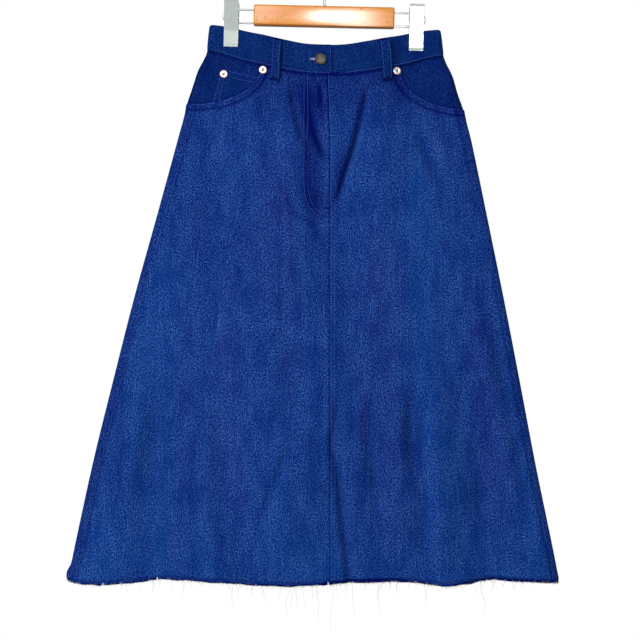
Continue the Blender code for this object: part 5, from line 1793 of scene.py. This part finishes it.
class SKIRT_OT_hanger(Operator):
    """Makes the wooden bar, the hook, and each side's wire loop, spring and clip"""

    bl_idname = "skirt.hanger"
    bl_label = "Hanger"

    def execute(self, context):
        steel = wire_steel()
        hook = strands("hook_wire", [hook_line()], HOOK_WIRE, steel, sides=5, taper=False)
        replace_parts(hook, "hook")
        self.bar()
        for word, side in SIDES:
            self.loop_and_spring(word, side, steel)
            self.clip(word, side, context.scene.skirt_hanger)
        return {"FINISHED"}

    def bar(self):
        bm = bmesh.new()
        bmesh.ops.create_cube(bm, size=1)
        bmesh.ops.scale(bm, vec=Vector((BAR_LENGTH, BAR_DEPTH, BAR_HEIGHT)) * MM, verts=bm.verts[:])
        bmesh.ops.translate(bm, vec=Vector((0, 0, BAR_TOP - BAR_HEIGHT / 2)) * MM, verts=bm.verts[:])
        round_edges(bm, 2.5, 5)
        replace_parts(put_shape("wooden_bar", bm, varnished_wood(), 30), "bar")

    def loop_and_spring(self, word, side, steel):
        turn_x = FRAME_REACH - FRAME_WIRE - FRAME_RADIUS
        inner = BAR_LENGTH / 2 - 4
        turn = arc(turn_x, FRAME_MIDDLE, FRAME_RADIUS, 90, -90, 24)
        line = np.concatenate(([(inner, 0, FRAME_TOP)], turn, [(inner, 0, FRAME_BOTTOM)])) * (side, 1, 1)
        loop = strands(f"wire_frame_{word}", [line], FRAME_WIRE, steel, sides=4, taper=False)
        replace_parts(loop, f"wire_loop_{word}")
        barrel = FRAME_RADIUS - FRAME_WIRE - GAP - 0.8
        turns = np.linspace(0, SPRING_TURNS, 190)
        x, angle = side * (turn_x - SPRING_LENGTH * turns / SPRING_TURNS), turns * 2 * np.pi
        coil = np.stack((x, barrel * np.cos(angle), FRAME_MIDDLE + barrel * np.sin(angle)), axis=-1)
        spring = strands(f"coil_spring_{word}", [coil], 0.68, steel, sides=2, taper=False)
        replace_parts(spring, f"clip_spring_{word}")

    def clip(self, word, side, settings):
        """Two pressed plates: a rounded profile drawn out across the clip, with rolled sides and edges."""
        barrel = FRAME_RADIUS - FRAME_WIRE - GAP
        jaw = GRIP_DEPTH + 1.8 + GAP
        profile = (
            (jaw + 0.7, CLIP_FOOT), (jaw, CLIP_FOOT + 5), (jaw, CLIP_FOOT + 24),
            (jaw + 1.2, FRAME_BOTTOM - 4), (barrel + GAP, FRAME_MIDDLE), (barrel + 2.2, FRAME_TOP),
            (barrel + 4.0, CLIP_TOP - 3), (barrel + 5.5, CLIP_TOP),
        )
        satin = metal("clip_plating", settings.plate, toned(settings.plate, 0.9), 0.3, 0.12, 0.08, 0.15)
        heights = np.linspace(CLIP_FOOT, CLIP_TOP, 40)
        depths = np.interp(heights, [z for _, z in profile], [y for y, _ in profile])
        depths[1:-1] = (depths[:-2] + 2 * depths[1:-1] + depths[2:]) / 4
        for layer, face in (("front", FRONT), ("back", BACK)):
            bm = bmesh.new()
            edge = side * CLIP_X - CLIP_WIDTH / 2
            left = [bm.verts.new(Vector((edge, -face * y, z)) * MM) for y, z in zip(depths, heights)]
            edges = [bm.edges.new(pair) for pair in zip(left, left[1:])]
            made = bmesh.ops.extrude_edge_only(bm, edges=edges)
            bmesh.ops.translate(bm, vec=Vector((CLIP_WIDTH, 0, 0)) * MM, verts=only_verts(made))
            bmesh.ops.recalc_face_normals(bm, faces=bm.faces[:])
            bm.normal_update()
            if sum(f.normal.y for f in bm.faces) * face > 0:
                bmesh.ops.reverse_faces(bm, faces=bm.faces[:])
            plate = put_shape(f"clip_plate_{layer}_{word}", bm, satin)
            wall = plate.modifiers.new("wall", "SOLIDIFY")
            wall.thickness, wall.offset = CLIP_PLATE * MM, 1
            rim = plate.modifiers.new("rolled edges", "BEVEL")
            rim.width, rim.segments, rim.harden_normals = 0.5 * MM, 3, True
            rim.limit_method, rim.angle_limit = "ANGLE", math.radians(50)
            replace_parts(plate, f"clip_{layer}_{word}")


# ---- the stage -------------------------------------------------------------------------------------
CAMERA_X = 0.0035  # in metres, as all places on the stage
HALF_VIEW = 0.448  # half the width that the camera sees at the skirt
# The lights that only shiny pieces show: name, x, height, size, and share of the glare's power.
GLARES = (("bar glare", 0.05, 0.33, (0.26, 0.44), 1.0), ("clip glare", 0.27, -0.25, (0.22, 1.8), 1.1))


class SKIRT_OT_stage(Operator):
    """Sets the camera, a white surround, soft lights and a pale floor"""

    bl_idname = "skirt.stage"
    bl_label = "Stage"

    def execute(self, context):
        settings = context.scene.skirt_studio
        camera = add_object("camera", bpy.data.cameras.new("camera"))
        camera.data.sensor_width = 36
        camera.data.lens = camera.data.sensor_width / 2 * settings.distance / HALF_VIEW
        place = Matrix.Translation((CAMERA_X, -settings.distance, settings.height))
        place = place @ Matrix.Rotation(math.pi / 2, 4, "X")
        camera.matrix_world = place @ Matrix.Rotation(settings.roll, 4, "Z")
        context.scene.camera = camera
        context.scene.view_settings.view_transform = "Standard"
        self.surround(settings.sky)
        self.light("key", (-1.15, -2.5, 0.75), (0, 0, -0.5), (1.5, 1.5), settings.key)
        for name, x, z, size, share in GLARES:
            glare = self.light(name, (x, -2.2, z), (x, 0, z), size, share * settings.glare)
            glare.visible_diffuse = False
        self.floor(settings.floor)
        return {"FINISHED"}

    def surround(self, brightness):
        """A world that the camera sees as pure white, and that lights the skirt more gently."""
        world = bpy.data.worlds.new("surround")
        world.use_nodes = True
        n, background = Nodes(world.node_tree), world.node_tree.nodes["Background"]
        seen = n.add("ShaderNodeLightPath").outputs["Is Camera Ray"]
        background.inputs["Color"].default_value = (1, 1, 1, 1)
        n.join(n.between(seen, 0, 1, brightness, 1.0), background.inputs["Strength"])
        bpy.context.scene.world = world

    def light(self, name, place, target, size, power):
        data = bpy.data.lights.new(name, "AREA")
        data.shape, (data.size, data.size_y), data.energy = "RECTANGLE", size, power
        lamp = add_object(name, data)
        lamp.location = place
        lamp.rotation_euler = (Vector(target) - Vector(place)).to_track_quat("-Z", "Y").to_euler()
        return lamp

    def floor(self, height):
        bm = bmesh.new()
        bmesh.ops.create_grid(bm, x_segments=1, y_segments=1, size=1.3)
        bmesh.ops.translate(bm, vec=(0, 0, height), verts=bm.verts[:])
        made, n, shader = start_material("pale_floor")
        mottle = n.noise(n.place(), (1.5, 1.5, 1.5), 2.0)
        n.join(n.mix(mottle, (0.90, 0.90, 0.90), (0.93, 0.93, 0.93)), shader.inputs["Base Color"])
        settle(shader, {"Roughness": 0.9})
        floor = add_object("floor", mesh_from("floor", bm))
        floor.data.materials.append(made)


# ---- the add-on ------------------------------------------------------------------------------------
OPERATORS = (
    SKIRT_OT_stage,
    SKIRT_OT_fronts,
    SKIRT_OT_backs,
    SKIRT_OT_waistband,
    SKIRT_OT_pockets,
    SKIRT_OT_fly,
    SKIRT_OT_loops,
    SKIRT_OT_hem,
    SKIRT_OT_sewing,
    SKIRT_OT_hardware,
    SKIRT_OT_hanger,
)
SETTINGS = (
    ("skirt_cloth", SkirtCloth),
    ("skirt_sewing", SkirtSewing),
    ("skirt_hanger", SkirtHanger),
    ("skirt_studio", SkirtStudio),
)


class SKIRT_PT_pieces(Panel):
    """Lists the skirt's pieces and settings"""

    bl_idname = "SKIRT_PT_pieces"
    bl_label = "Skirt"
    bl_space_type = "VIEW_3D"
    bl_region_type = "UI"
    bl_category = "Skirt"

    def draw(self, context):
        for operator in OPERATORS:
            self.layout.operator(operator.bl_idname)
        for name, kind in SETTINGS:
            box = self.layout.box()
            for key in kind.__annotations__:
                box.prop(getattr(context.scene, name), key)


def register():
    for name, kind in SETTINGS:
        bpy.utils.register_class(kind)
        setattr(bpy.types.Scene, name, PointerProperty(type=kind))
    for kind in (*OPERATORS, SKIRT_PT_pieces):
        bpy.utils.register_class(kind)


def unregister():
    for kind in (SKIRT_PT_pieces, *OPERATORS[::-1]):
        bpy.utils.unregister_class(kind)
    for name, kind in SETTINGS[::-1]:
        delattr(bpy.types.Scene, name)
        bpy.utils.unregister_class(kind)


def main():
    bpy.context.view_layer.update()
    register()
    for operator in OPERATORS:
        group, name = operator.bl_idname.split(".")
        getattr(getattr(bpy.ops, group), name)()


if __name__ == "__main__":
    main()
